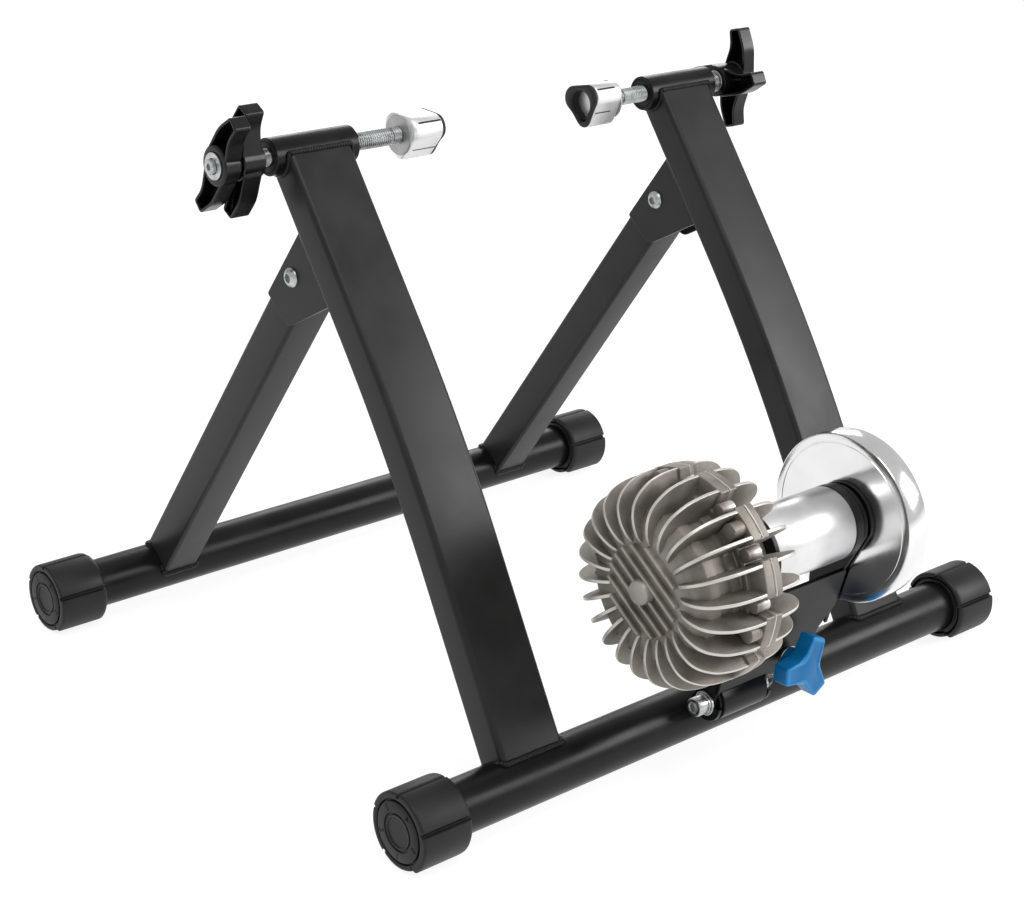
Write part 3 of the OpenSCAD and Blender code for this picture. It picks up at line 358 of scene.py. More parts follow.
def side_path(points, x):
    """Points (x, y, z) from side-view points (y, z)."""
    points = np.asarray(points, float)
    return np.stack([np.full(len(points), float(x)), points[:, 0], points[:, 1]], -1)


def unit(degrees):
    """Direction (cos, sin) of an angle in degrees."""
    return np.array([math.cos(math.radians(degrees)), math.sin(math.radians(degrees))])


def rectangle(wide, high):
    """Corners of a rectangle of half width and half height."""
    return [(-wide, -high), (wide, -high), (wide, high), (-wide, high)]


def landing(outline, centre, way, x, shift=(0, 0), radius=18.4):
    """Where lines along `way` from an outline (x, across) meet a tube of a given radius:
    s = -p.w + sqrt((p.w)^2 - p.p + R^2), with p the outline's point from the tube's axis."""
    across = np.array([way[1], -way[0]])
    p = np.asarray(shift)[None, :] + outline[:, 1:] * across[None, :]
    dot = p @ way
    s = -dot + np.sqrt(np.maximum(dot ** 2 - np.sum(p * p, 1) + radius ** 2, 0))
    return np.concatenate([x + outline[:, :1], centre + p + s[:, None] * way], 1)


# The same black powder coat made lighter for the uprights, struts and brackets: painted light,
# standing in for the light their flat faces catch.
painted_light_coat = surface("Black coat with painted light", "black_coat", 0.015, 0.02, (0.3, 0.4), cloud=30,
                    grain=700, bump=0.2, depth=0.12, specular=0.2, spots=(420, 0.735, 0.03))
UPRIGHTS = (("left", -166.5), ("right", 166.5))
AXLE = np.array([60.76, 386.082])
LOWER, UPPER = unit(61.5), unit(54.0)
BEND_FROM, BEND_MID = np.array([-98.016, 150.371]), np.array([938.988, -412.676])
BEND_RADIUS = 1180
SHIFT = np.array([1, 0])
bend = np.radians(np.linspace(151.5, 144.0, 16))
upright_line = np.concatenate([
    (REAR + SHIFT + LOWER * 6)[None], (BEND_FROM - LOWER * 40)[None],
    BEND_MID + BEND_RADIUS * np.stack([np.cos(bend), np.sin(bend)], -1),
    (AXLE - UPPER * 60)[None], (AXLE - UPPER * 4)[None]])
upright_corners = rectangle(25, 12.75)
for side, x in UPRIGHTS:
    piece(side + "_upright_tube", sweep(fillet(upright_corners, [4] * 4, 8),
                                        side_path(upright_line, x), (1, 0, 0)),
          "stand", painted_light_coat, side + "_upright", angle=25)
    joint = landing(fillet(upright_corners, [3] * 4), REAR, LOWER, x, SHIFT)
    piece(side + "_upright_weld", bead(joint, 2.1, (0, -0.3, 1), True), "stand", black_coat)


# Axle tubes
# Short round tubes, 25 mm across, laid across the uprights' tops and welded
# along both tangent lines, with a threaded bush pressed in each end.
def placed(profile, start, way):
    """Profile rows whose x is measured from a start along a way of 1 or -1."""
    return [(start + way * x, r) for x, r in profile]


AXLE_TUBE_RADIUS, AXLE_TUBE_IN, AXLE_TUBE_OUT = 12.5, 134, 200
tube_end = [(0, 6.3), (0, 9.6), (0.5, 9.9), (0.5, 10.3), (0, 10.7), (0, 11.9),
            (0.6, AXLE_TUBE_RADIUS)]
for (side, x), way in zip(UPRIGHTS, (-1, 1)):
    profile = (placed(tube_end, way * AXLE_TUBE_IN, way)
               + placed(tube_end[::-1], way * AXLE_TUBE_OUT, -way))
    piece(side + "_axle_tube_skin", revolve(profile + profile[:1], AXLE, 112), "stand",
          black_coat, side + "_axle_tube", *(["thread_bushes"] if side == "left" else []))
    for k, turn in enumerate((-1, 1)):
        normal = turn * np.array([-UPPER[1], UPPER[0]])
        foot_of = AXLE + normal * AXLE_TUBE_RADIUS - UPPER * 4.4
        path = [(at, *foot_of) for at in np.linspace(x - 25.5, x + 25.5, 40)]
        piece(f"{side}_axle_weld_{k + 1}", bead(path, 1.8, (0, 0, 1), seed=2 + k), "stand",
              black_coat)
    for k, turn in enumerate((-1, 1)):
        arc = np.radians(54 + 180 + np.linspace(-72, 72, 24))
        piece(f"{side}_axle_cope_{k + 1}",
              bead(around(x + turn * 25.3, 13.0, arc, AXLE), 1.5, (1, 0, 0), seed=4 + k), "stand",
              black_coat)


# Clamp rods
# M12 threaded rods, zinc-plated, screwed through the axle tubes' bushes. Each
# has a turned groove just behind its cup, and its outer end carries the knob.
def threaded(x0, x1, plain, centre, radius=6.0, depth=0.9, pitch=1.75):
    """r = R - depth * (1.5 |2 f - 1| - 0.25, held between 0 and 1), with f the fraction of
    (x / pitch - a / 2 pi). The stretches (x from, x to, r) are plain, the ends chamfered."""
    x = np.linspace(x0, x1, int(abs(x1 - x0) / pitch * 9))
    a = np.linspace(0, 2 * np.pi, 40, endpoint=False)
    fraction = (x[:, None] / pitch - a[None, :] / (2 * np.pi)) % 1
    r = radius - depth * np.clip(1.5 * np.abs(2 * fraction - 1) - 0.25, 0, 1)
    for low, high, value in plain:
        r = np.where(((x > low) & (x < high))[:, None], value, r)
    ends = np.minimum(x - min(x0, x1), max(x0, x1) - x)[:, None]
    r = np.minimum(r, radius - depth + ends)
    x = np.concatenate([x[:1], x, x[-1:]])[:, None]
    return stacked(around(x, np.concatenate([0 * r[:1], r, 0 * r[:1]]), a, centre), False)


zinc = surface("Zinc plate", "zinc", (0.36, 0.38, 0.385), (0.55, 0.57, 0.57), (0.24, 0.36),
               cloud=160, grain=1800, bump=0.12, depth=0.05, metallic=1.0, stretch=(1, 0.3, 0.3))
for side, x0, x1, plain in (("left", -239.4, -86.6, [(-101.8, -100.4, 4.9), (-93.5, -80, 5.6)]),
                            ("right", 96.6, 241.4, [(110.4, 111.8, 4.9), (90, 103.5, 5.6)])):
    piece(side + "_rod_thread", threaded(x0, x1, plain, AXLE), side + "_rod", zinc,
          side + "_clamp_rod", angle=60)


# Clamp knobs
# Glossy black moulded knobs with two wings that trail off like an S. Each wing
# is a tray with thin walls, open on one face. A washer and a socket screw on
# the end of the rod hold the knob.
def inset(corners, d):
    """Corners moved inward by d: each side is shifted along its normal and they meet again."""
    c = np.asarray(corners, float)
    nxt = np.roll(c, -1, 0)
    area = 0.5 * np.sum(c[:, 0] * nxt[:, 1] - nxt[:, 0] * c[:, 1])
    way = (nxt - c) / np.linalg.norm(nxt - c, axis=1)[:, None]
    normal = np.stack([-way[:, 1], way[:, 0]], -1) * (1 if area > 0 else -1)
    start, before = c + normal * d, np.roll(c + normal * d, 1, 0)
    w0, w1 = np.roll(way, 1, 0), way
    gap = start - before
    t = (gap[:, 0] * w1[:, 1] - gap[:, 1] * w1[:, 0]) / (w0[:, 0] * w1[:, 1] - w0[:, 1] * w1[:, 0])
    return before + w0 * t[:, None]


def spun(points, turn, centre):
    """Points (x, u, v) turned about the X axis: (x, cy + u cos - v sin, cz + u sin + v cos)."""
    c, s = math.cos(math.radians(turn)), math.sin(math.radians(turn))
    x, u, v = points.T
    return np.stack([x, centre[0] + u * c - v * s, centre[1] + u * s + v * c], -1)


def rings(outlines, xs, turn):
    """Outlines (u, v) at each x, turned about the rods' axis, closed flat at both ends."""
    return stacked([spun(side_path(o, x), turn, AXLE) for o, x in zip(outlines, xs)])


def tray_knob(x_open, x_back, turn, wall=2.0, floor=2.5, drop=0.6):
    """Two-winged tray: an S outline and the same outline inset by the wall's thickness."""
    half = [(5, 12.3), (24, 11.2), (39, 4.6), (36.5, -5.2), (24, -3.4), (13, -7.2)]
    order = 1 if x_open > 0 else -1
    half = [(u, v * order) for u, v in half[::order]]
    corners = half + [(-u, -v) for u, v in half]
    outer, soft_outer, soft_inner, inner = [
        fillet(inset(corners, d), radii[::order] * 2, 7)
        for d, radii in ((0, [7, 30, 2.4, 2.4, 20, 5]), (0.5, [6.6, 29.5, 2, 2, 20.5, 5.4]),
                         (wall - 0.5, [5.4, 28.5, 1.2, 1.2, 21.5, 6.2]),
                         (wall, [5, 28, 1.0, 1.0, 22, 6.5]))]
    return rings([inner, inner, soft_inner, soft_outer, outer, outer, soft_outer],
                 [x_back - floor, x_open + drop, x_open, x_open, x_open + drop, x_back - drop,
                  x_back], turn)


def rib(x0, x1, turn, middle):
    """Straight rib inside a wing, about its middle."""
    outline = fillet(rectangle(12.5, 0.8), [0.5] * 4, 3) + [middle, 0]
    return rings([outline, outline], [x0, x1], turn)


turned_zinc = surface("Turned zinc", "zinc", (0.4, 0.42, 0.42), (0.58, 0.6, 0.6), (0.22, 0.34),
                      cloud=140, grain=1600, bump=0.12, depth=0.06, metallic=1.0, axis=AXLE)
knob_plastic = surface("Knob plastic", "knob_plastic", 0.0035, 0.006, (0.22, 0.32), cloud=60,
                       grain=1300, bump=0.12, depth=0.05, specular=0.3)
for side, way, end, tray_from, turn in (("left", -1, -239.5, -239.5, 125),
                                        ("right", 1, 241.5, 229.5, 90)):
    hub = revolve([(-12, 5.5), (-12, 12.1), (-11.3, 12.9), (-0.7, 13.4), (0, 12.8), (0.25, 12.0),
                   (0.25, 9.5), (0, 9.3), (0, 5.5), (-12, 5.5)], AXLE, 96, end, way)
    piece(side + "_knob_wings", join([tray_knob(tray_from, tray_from + 12, turn), hub]),
          side + "_rod", knob_plastic, side + "_clamp_knob", angle=38)
    washer = revolve([(0, 5.4), (0, 8.6), (0.35, 9.0), (1.25, 9.0), (1.6, 8.7), (1.6, 5.4),
                      (0, 5.4)], AXLE, 96, end, way)
    head = revolve([(-3, 2.9), (1.6, 2.9), (1.6, 4.6), (1.8, 4.9), (4.0, 5.0), (4.45, 4.7),
                    (4.6, 4.2), (4.6, 2.35), (4.3, 4, 2.05), (2.6, 4, 2.0), (2.4, 0)], AXLE, 72,
                   end, way)
    stem = revolve([(-3, 0), (-3, 2.9)], AXLE, 72, end, way)
    piece(side + "_knob_screw_head", join([washer, head, stem]), side + "_rod", turned_zinc,
          side + "_knob_screw", angle=30)


# Lock knobs
# The same two-winged moulding, deeper, on a threaded steel insert. It runs on
# the rod and jams against the axle tube's end.
for side, way, hub_from, x_open, turn in (("left", -1, -207.5, -224.5, 106),
                                          ("right", 1, 210.0, 213.0, 169)):
    x_back = x_open + 14
    hub = revolve([(0, 8.6), (0, 10.8), (0.7, 11.7), (16.3, 12), (17, 11.2), (17, 8.6), (0, 8.6)],
                  AXLE, 96, hub_from, way)
    ribs = [rib(x_open + 3, x_back, turn, middle) for middle in (23.5, -23.5)]
    piece(side + "_lock_wings", join([tray_knob(x_open, x_back, turn), hub] + ribs),
          side + "_lock_knob", knob_plastic, side + "_lock_knob", angle=38)
    insert = [(0, 6.1), (0, 8.0), (0.4, 8.5), (16.6, 8.5), (17, 8.0), (17, 6.1), (0, 6.1)]
    piece(side + "_lock_bush", revolve(insert, AXLE, 72, hub_from, way), side + "_lock_insert",
          turned_zinc, side + "_lock_insert")


# Cups
# Bright plated cups with a three-sided outline, pressed on the rods' inner
# ends, with two long slots in the flank. A thick black rubber liner fills each
# cup, folds over its lip and holds the axle nut in a keyhole-shaped mouth.
def polar(points, angles):
    """Radius of a star-shaped outline at each angle, by linear interpolation."""
    at = np.arctan2(points[:, 1], points[:, 0])
    order = np.argsort(at)
    at, r = at[order], np.hypot(points[:, 0], points[:, 1])[order]
    return np.interp(angles, np.concatenate([at - 2 * np.pi, at, at + 2 * np.pi]),
                     np.tile(r, 3))


def dense(outline, step=0.5):
    """Closed outline resampled so that no two points are further apart than a step."""
    closed = np.concatenate([outline, outline[:1]])
    length = np.concatenate([[0], np.cumsum(np.linalg.norm(np.diff(closed, axis=0), axis=1))])
    at = np.arange(0, length[-1], step)
    return np.stack([np.interp(at, length, closed[:, k]) for k in range(2)], -1)


chrome = surface("Cup chrome", "chrome", (0.74, 0.74, 0.745), (0.8, 0.8, 0.805), (0.4, 0.47),
                 cloud=90, grain=500, bump=0.05, depth=0.1, metallic=1.0)
matte_zinc = surface("Matte plate", "zinc", (0.38, 0.38, 0.385), (0.47, 0.47, 0.475), (0.4, 0.5),
                     cloud=160, grain=2200, bump=0.25, depth=0.05, metallic=0.9)
liner_rubber = surface("Liner rubber", "liner_rubber", 0.007, 0.013, (0.4, 0.55), cloud=70,
                       grain=1600, bump=0.25, depth=0.08, specular=0.35)
# The shell is not cut for the slots: thin dark strips laid on its flank are painted shade in their
# place.
painted_slot_shade = surface("Slot shade", "liner_rubber", 0.006, 0.01, (0.7, 0.8))
angles = np.linspace(-np.pi, np.pi, 168, endpoint=False)
cup_corners = fillet([(-26.5, 13.5), (0, -21.8), (26.5, 13.5)], [9.5, 6.5, 9.5], 14)
cup_radius = polar(dense(cup_corners), angles)
# A round hole of radius 9.5, opened downward by a circle of radius 5 that stands 8 mm lower.
mouth = np.maximum(9.5, 8 + 0.98 * np.sqrt(np.maximum(
    25 - 128 * (1 - np.cos(angles + np.pi / 2)), 0)))
flank = (np.exp(-((angles + math.radians(30)) / 0.42) ** 2)
         + np.exp(-((angles + math.radians(150)) / 0.42) ** 2))


def cup_rows(rows, side, x_back, turn, a=angles, capped=False):
    """Rows (x from the back, radii over the angle), placed on the rod and turned."""
    flip = 1 if side == "left" else -1
    return stacked([spun(side_path(np.stack([r * np.cos(a), r * np.sin(a) * flip], -1),
                                   flip * (x - x_back)), turn, AXLE) for x, r in rows], capped)


for side, x_back, turn, slot_places in (
        ("left", 92.5, 3, ((147, 5, 24), (229, 5, 24))),
        ("right", 100.5, 168, ((138, 7, 24), (205, 9, 24)))):
    body = side + "_cup"
    shell = [(0, 0), (0, 5.0), (0, cup_radius - 3.2), (0.35, cup_radius - 1.8),
             (1.1, cup_radius - 0.7), (2.4, cup_radius - 0.1), (3.5, cup_radius),
             (24.1, cup_radius), (24.8, cup_radius - 0.35), (25, cup_radius - 0.9),
             (25, 11.6), (20, 11.6), (20, 0)]
    piece(side + "_cup_shell", cup_rows(shell, side, x_back, turn), body, chrome,
          side + "_cup", angle=50)
    lip = cup_radius - 0.3 - 0.6 * flank
    liner = [(14.2, 0), (14.2, 9.0), (15, 9.4), (25.9, mouth), (27.1, mouth + 0.2),
             (27.9, mouth + 1.3), (28, (mouth + lip) / 2), (27.8, lip - 1.3), (27.3, lip - 0.4),
             (26.6, lip), (25.8, lip + 0.1), (25.1, cup_radius - 0.6), (25, cup_radius - 1.4),
             (25, 11.0), (13.4, 11.0), (13.4, 0)]
    piece(side + "_cup_lining", cup_rows(liner, side, x_back, turn), body, liner_rubber,
          side + "_cup_liner", angle=40)
    way = -1 if side == "left" else 1
    back = [(1.0, 5.6), (1.0, 13.3), (0.6, 13.9), (-0.4, 13.9), (-0.4, 5.6), (1.0, 5.6)]
    piece(side + "_cup_disc", revolve(back, AXLE, 80, way * x_back, way), body, matte_zinc)
    # Painted shade: one thin dark strip on the flank for each slot, in place of an opening.
    slots = []
    for place, x_from, x_to in slot_places:
        local = math.radians(place - turn if side == "left" else turn - place)
        k = int(np.argmin(np.abs((angles - local + np.pi) % (2 * np.pi) - np.pi)))
        ways = np.array([k - 1, k, k + 1, k + 1, k, k - 1]) % len(angles)
        r = cup_radius[ways] + np.repeat([0.06, -0.5], 3)
        slots.append(cup_rows([(x_from, r), (x_to, r)], side, x_back, turn, angles[ways], True))
    piece(side + "_cup_slot_shade", join(slots), body, painted_slot_shade)


# Struts
# Square tube, 29.5 mm, from the front floor tube, where each is welded all
# round, back up to the fold pivot inside its bracket.
FOLD = np.array([54.432, 304.897])
STRUT_ANGLE, STRUT_HALF = -54.1686, 14.75
STRUT_DOWN, STRUT_OUT = unit(STRUT_ANGLE), unit(STRUT_ANGLE + 90)
STRUT = -STRUT_DOWN
strut_corners = rectangle(STRUT_HALF, STRUT_HALF)
# The tube's cut end is turned in over its last millimetre; the rest is hidden in the bracket.
strut_halves = np.array([STRUT_HALF, STRUT_HALF, 14.2, 13.25, 13.25])
strut_sections = fillet(strut_corners, [3] * 4) * (strut_halves / STRUT_HALF)[:, None, None]
strut_line = [FRONT + STRUT * 8, FOLD + STRUT * 14.2, FOLD + STRUT * 15, FOLD + STRUT * 15,
              FOLD - STRUT * 30]
strut_up = np.cross((0, *STRUT), [1, 0, 0])
for side, x in UPRIGHTS:
    rows = (side_path(strut_line, x)[:, None] + strut_sections[:, :, :1] * np.array([1.0, 0, 0])
            + strut_sections[:, :, 1:] * strut_up)
    piece(side + "_strut_tube", stacked(rows), "legs", painted_light_coat, side + "_strut", angle=25)
    joint = landing(fillet(strut_corners, [2.5] * 4, 5), FRONT, STRUT, x)
    piece(side + "_strut_weld", bead(joint, 2.0, (0, 0.3, 1), True, seed=6), "legs", black_coat)


# Brackets
# Folded 3 mm plate, welded to the upright's back, whose two ears take the fold
# bolt: a button-head socket bolt with a lock nut, washers beside the strut.
def prism(outline, x0, x1):
    """Side-view outline (y, z) between two planes of constant x."""
    return stacked([side_path(outline, x) for x in (x0, x1)])


BACK = np.array([UPPER[1], -UPPER[0]])


def from_axle(down, back):
    """Side-view point a length down the upright from the axle and back from its middle."""
    return AXLE - down * UPPER + back * BACK


EAR_IN, EAR_OUT = 16.95, 19.95
ear = fillet([from_axle(47, 12.77), from_axle(102, 12.77), FOLD + 33 * STRUT_DOWN - 16 * STRUT_OUT,
              FOLD + 31 * STRUT_DOWN + 13 * STRUT_OUT], [0, 0, 8, 2], 8)
web = [from_axle(47, 12.77), from_axle(102, 12.77), from_axle(102, 15.77), from_axle(47, 15.77)]
for side, x in UPRIGHTS:
    piece(side + "_bracket_plate", join([prism(ear, x - EAR_OUT, x - EAR_IN),
                                         prism(ear, x + EAR_IN, x + EAR_OUT),
                                         prism(web, x - 18, x + 18)]),
          "stand", painted_light_coat, side + "_bracket", angle=30, bevel=0.5)
    for k, way in enumerate((-1, 1)):
        line = side_path([from_axle(d, 13.6) for d in np.linspace(48, 101, 20)], x + way * 20.6)
        piece(f"{side}_bracket_weld_{k + 1}", bead(line, 1.6, (1, 0, 0), seed=8 + k),
              "stand", black_coat)
BUTTON_HEAD = [(-0.1, 0), (-0.1, 6.9), (0.3, 7.0), (0.9, 6.9), (1.8, 6.3), (2.7, 5.3), (3.3, 4.3),
               (3.6, 3.6), (3.6, 3.2), (3.4, 4, 2.85), (1.4, 4, 2.8), (1.2, 0)]
LOCK_NUT = [(0, 4.05), (0, 6.3, 6.2), (0.5, 6.9, 6.25), (5.2, 7.1, 6.25), (6.0, 6.4, 6.25),
            (6.2, 5.6), (7.6, 5.2), (8, 4.7), (8, 4.05), (0, 4.05)]
SIDE_WASHER = [(-1, 4.1), (-1, 7.8), (0, 8.0), (1, 7.8), (1, 4.1), (-1, 4.1)]
bolt_parts, nut_parts, washer_parts = [], [], []
for side, x in UPRIGHTS:
    bolt_parts.append(revolve(BUTTON_HEAD, FOLD, 72, x - EAR_OUT, -1))
    bolt_parts.append(revolve([(-EAR_OUT, 0), (-EAR_OUT, 4), (EAR_OUT + 9.4, 4),
                               (EAR_OUT + 10, 3.4), (EAR_OUT + 10, 0)], FOLD, 48, x))
    nut_parts.append(revolve(LOCK_NUT, FOLD, 72, x + EAR_OUT))
    washer_parts += [revolve(SIDE_WASHER, FOLD, 64, x + way * 15.85) for way in (-1, 1)]
piece("fold_bolt_heads", join(bolt_parts), "stand", zinc, "fold_bolts", angle=35)
piece("fold_lock_nuts", join(nut_parts), "stand", zinc, "fold_nuts", angle=30)
piece("fold_side_washers", join(washer_parts), "stand", zinc, "fold_washers")


# Cradle's pivot
# A short barrel welded on the floor tube, with plastic bushes. A socket cap
# bolt passes through it and the cradle's ears, over a spring and a plain washer.
TILT = np.array([-192.247, 43.537])
piece("pivot_barrel_skin", revolve([(-30, 6.9), (-30, 12.6), (-29.3, 13.3), (10.3, 13.3),
                                    (11, 12.6), (11, 6.9), (-30, 6.9)], TILT, 96),
      "stand", black_coat, "pivot_barrel")
seat_angle = math.degrees(math.atan2(TILT[1] - REAR[1], TILT[0] - REAR[0]))
for k, turn in enumerate((-1, 1)):
    spot = REAR + 18.6 * unit(seat_angle + turn * 13)
    line = [(at, *spot) for at in np.linspace(-29.5, 10.5, 30)]
    piece(f"pivot_weld_{k + 1}", bead(line, 2.4, (0, 0, 1), seed=11 + k), "stand", black_coat)
flanged_bush = [(0, 4.1), (0, 10.8), (0.4, 11.3), (1.5, 11.3), (1.5, 6.9), (15.5, 6.9),
                (15.5, 4.1), (0, 4.1)]
piece("pivot_bush_flanges", join([revolve(flanged_bush, TILT, 72, -31.5),
                                  revolve(flanged_bush, TILT, 72, 12.5, -1)]),
      "stand", knob_plastic, "pivot_bushes")
turned_bolt = surface("Turned bolt", "zinc", (0.4, 0.42, 0.42), (0.58, 0.6, 0.6), (0.24, 0.36),
                      cloud=140, grain=1500, bump=0.12, depth=0.06, metallic=1.0, axis=TILT)
EAR_FACE, NUT_FACE = -34.8, 17.4
piece("pivot_bolt_head", join([
    revolve([(3.2, 0), (3.2, 6.2), (3.5, 6.5), (10.4, 6.5), (11.0, 6.2), (11.2, 5.6), (11.2, 4.15),
             (10.9, 5, 3.5), (7.2, 5, 3.45), (6.6, 0)], TILT, 72, EAR_FACE, -1),
    revolve([(EAR_FACE - 3.3, 0), (EAR_FACE - 3.3, 4), (26.2, 4), (27, 3.3), (27, 0)], TILT, 48)]),
      "cradle", turned_bolt, "pivot_bolt", angle=30)
piece("pivot_washer_rings", join([
    revolve([(0, 4.1), (0, 8.0), (0.4, 8.3), (1.3, 8.3), (1.58, 8.0), (1.58, 4.1), (0, 4.1)],
            TILT, 80, EAR_FACE, -1),
    revolve([(1.62, 4.1), (1.62, 7.1), (1.9, 7.3), (3.0, 7.3), (3.2, 7.0), (3.2, 4.1),
             (1.62, 4.1)], TILT, 80, EAR_FACE, -1),
    revolve([(-1.6, 4.1), (-1.6, 8.0), (-1.2, 8.3), (-0.3, 8.3), (0, 8.0), (0, 4.1),
             (-1.6, 4.1)], TILT, 80, NUT_FACE)]), "cradle", turned_bolt, "pivot_washers")
piece("pivot_lock_nut", revolve(LOCK_NUT, TILT, 72, NUT_FACE), "cradle",
      (knob_plastic[0], "zinc"), "pivot_nut", angle=30)


# Cradle
# One sheet of 3 mm steel: a front plate that leans to the brake's side, its two
# ends folded back into flanges for the roller's bearings, and two ears below.
ROLLER = np.array([-212.25, 155.3])
LEAN = math.radians(15.5)
SHEET, FRONT_DEPTH = 3, 8


def tilted(points):
    """Points (x, y, z) from the pivot, with z along the leaning plate."""
    x, y, z = np.asarray(points, float).T
    return np.stack([x, TILT[0] + y * math.cos(LEAN) - z * math.sin(LEAN),
                     TILT[1] + y * math.sin(LEAN) + z * math.cos(LEAN)], -1)


def web_point(up, back):
    """Side-view point at a height up the front plate's face and a depth behind it."""
    s, c = math.sin(LEAN), math.cos(LEAN)
    depth = back - FRONT_DEPTH * c
    return TILT + np.array([-up * s + depth * c, up * c + depth * s])


def tab(centre, radius, start, end, steps, corners):
    """Side view of a sheet that ends in an arc: the arc, then corners on the front plate."""
    arc = np.radians(np.linspace(start, end, steps))
    return np.concatenate([around(0, radius, arc, centre)[:, 1:],
                           [web_point(up, back) for up, back in corners]])


plate = fillet([(-28, 84), (64, 84), (64, 54), (53, 38), (51, 30), (40, 11), (15.8, 11),
                (13.3, 13.5), (-32.3, 13.5), (EAR_FACE, 11), (EAR_FACE, 22), (-28, 34)],
               [3, 3, 6, 6, 6, 5, 0, 0, 0, 0, 3, 3])
face_y = -FRONT_DEPTH * math.cos(LEAN)
sheet_shapes = [stacked([tilted([(x, y, z) for x, z in plate]) for y in (face_y, face_y + SHEET)])]
for x0, r in ((-28, 30.0), (61, 24.8)):
    flange = tab(ROLLER, r, 190, -38, 60, [(50, 22), (40, 6), (38, 1.5), (81, 1.5)])
    sheet_shapes.append(prism(flange, x0, x0 + SHEET))
for x0 in (EAR_FACE, 12.8):
    pivot_ear = tab(TILT, 12.7, 185, 365, 40, [(24, 10), (24, 1.5), (0, 1)])
    sheet_shapes.append(prism(pivot_ear, x0, x0 + SHEET))
piece("cradle_sheet", join(sheet_shapes), "cradle", black_coat, "cradle", angle=30, bevel=0.45)
rim_x = [(-28.7, 22.0), (-28.7, 29.2), (-28.2, 29.9), (-25.6, 30.0), (-25.0, 29.6), (-24.7, 27),
         (-24.7, 22.0), (-28.7, 22.0)]
piece("left_flange_disc", revolve(rim_x, ROLLER, 112), "cradle", black_coat)


# Roller, bearing cup and flywheel
# The roller is a polished steel drum on a 12 mm shaft. A black two-stepped
# bearing cup parts it from the flywheel, a turned and polished steel disc.
roller_chrome = surface("Polished roller", "chrome", 0.7, 0.78, (0.3, 0.38), cloud=45, grain=900,
                        bump=0.06, depth=0.03, metallic=1.0, stretch=(0.12, 1, 1))
flywheel_face = surface("Polished flywheel", "chrome", 0.76, 0.84, (0.12, 0.2), cloud=40,
                        grain=1100, bump=0.1, depth=0.05, metallic=1.0, axis=ROLLER)
piece("roller_drum", revolve([
    (-23.5, 6.1), (-23.5, 20.6), (-23.0, 21.2), (-22.6, 21.3), (-22.6, 23.4), (-23.2, 23.8),
    (-23.5, 24.4), (-23.3, 25.0), (-22.8, 25.3), (51.6, 25.3), (52.1, 25.0), (52.3, 24.5),
    (52.3, 6.1), (-23.5, 6.1)], ROLLER, 144), "rotor", roller_chrome, "roller")
piece("bearing_cup_body", revolve([
    (52.6, 8.1), (52.6, 24.2), (53.0, 24.9), (53.6, 25.3), (59.8, 25.3), (60.3, 24.9),
    (60.5, 24.2), (60.5, 22.8), (61, 22.6), (61, 14.1), (53.2, 14.1), (53.2, 8.1),
    (52.6, 8.1)], ROLLER, 112), "cradle", knob_plastic, "bearing_cup")
FLYWHEEL_OUT = 83.9
piece("flywheel_disc", revolve([
    (65.5, 6.1), (65.5, 51.6), (65.9, 51.9), (65.9, 52.5), (65.5, 52.8), (65.5, 57.2),
    (65.75, 57.8), (66.4, 58.2), (82.9, 58.2), (83.6, 57.9), (FLYWHEEL_OUT, 57.2),
    (FLYWHEEL_OUT, 49.2), (83.4, 48.3), (79.4, 46.3), (78.9, 45.6), (78.9, 20.6), (79.3, 20.0),
    (83.5, 18.4), (FLYWHEEL_OUT, 17.9), (FLYWHEEL_OUT, 6.1), (65.5, 6.1)], ROLLER, 160),
      "rotor", flywheel_face, "flywheel")
piece("flywheel_shaft", join([
    revolve([(-95.5, 0), (-95.5, 5.6), (-95.1, 6), (92.2, 6), (92.9, 5.4), (92.9, 0)], ROLLER, 72),
    revolve([(61.0, 6.05), (61.0, 8.5), (65.5, 8.5), (65.5, 6.05), (61.0, 6.05)], ROLLER, 72)]),
      "rotor", (zinc[0], "steel"), "roller_shaft", "flywheel_spacer")
piece("flywheel_hex_nut", revolve([
    (0, 6.05), (0, 9.0, 9.0), (0.6, 10.0, 9.0), (7.3, 10.0, 9.0), (8, 9.0, 9.0), (8, 6.05),
    (0, 6.05)], ROLLER, 72, FLYWHEEL_OUT), "rotor", zinc, "flywheel_nut", angle=30)


# Brake housing, front half
# Sand-cast aluminium: a drum with 24 fins that run over its face and rim, a
# ribbed patch with a centre boss, bridges between the fins at the joint, pillars
# for the screws and short round lugs. Fin edges and joint faces are rubbed bright.
cast_aluminium = surface("Sand-cast aluminium", "cast_aluminium", (0.2, 0.176, 0.152),
                         (0.315, 0.287, 0.256), (0.44, 0.58), cloud=55, grain=1100, bump=0.7,
                         depth=0.25, metallic=0.6, edge=(0.6, 0.58, 0.55), edge_rough=0.36,
                         detail=7.0, spots=(900, 0.66, (0.16, 0.142, 0.122)))


def about(shape, turns):
    """Copies of a shape drawn with z as the radius, turned about the roller's axis."""
    return join([(spun(shape[0], turn, ROLLER), shape[1]) for turn in turns])


def spline(points, count):
    """Catmull-Rom curve through the points, at `count` even steps of its parameter."""
    p = np.asarray(points, float)
    p = np.concatenate([2 * p[:1] - p[1:2], p, 2 * p[-1:] - p[-2:-1]])
    t = np.linspace(0, len(p) - 3 - 1e-9, count)
    k, f = t.astype(int), (t % 1)[:, None]
    a, b, c, d = p[k], p[k + 1], p[k + 2], p[k + 3]
    return 0.5 * (2 * b + (c - a) * f + (2 * a - 5 * b + 4 * c - d) * f ** 2
                  + (3 * b - a - 3 * c + d) * f ** 3)


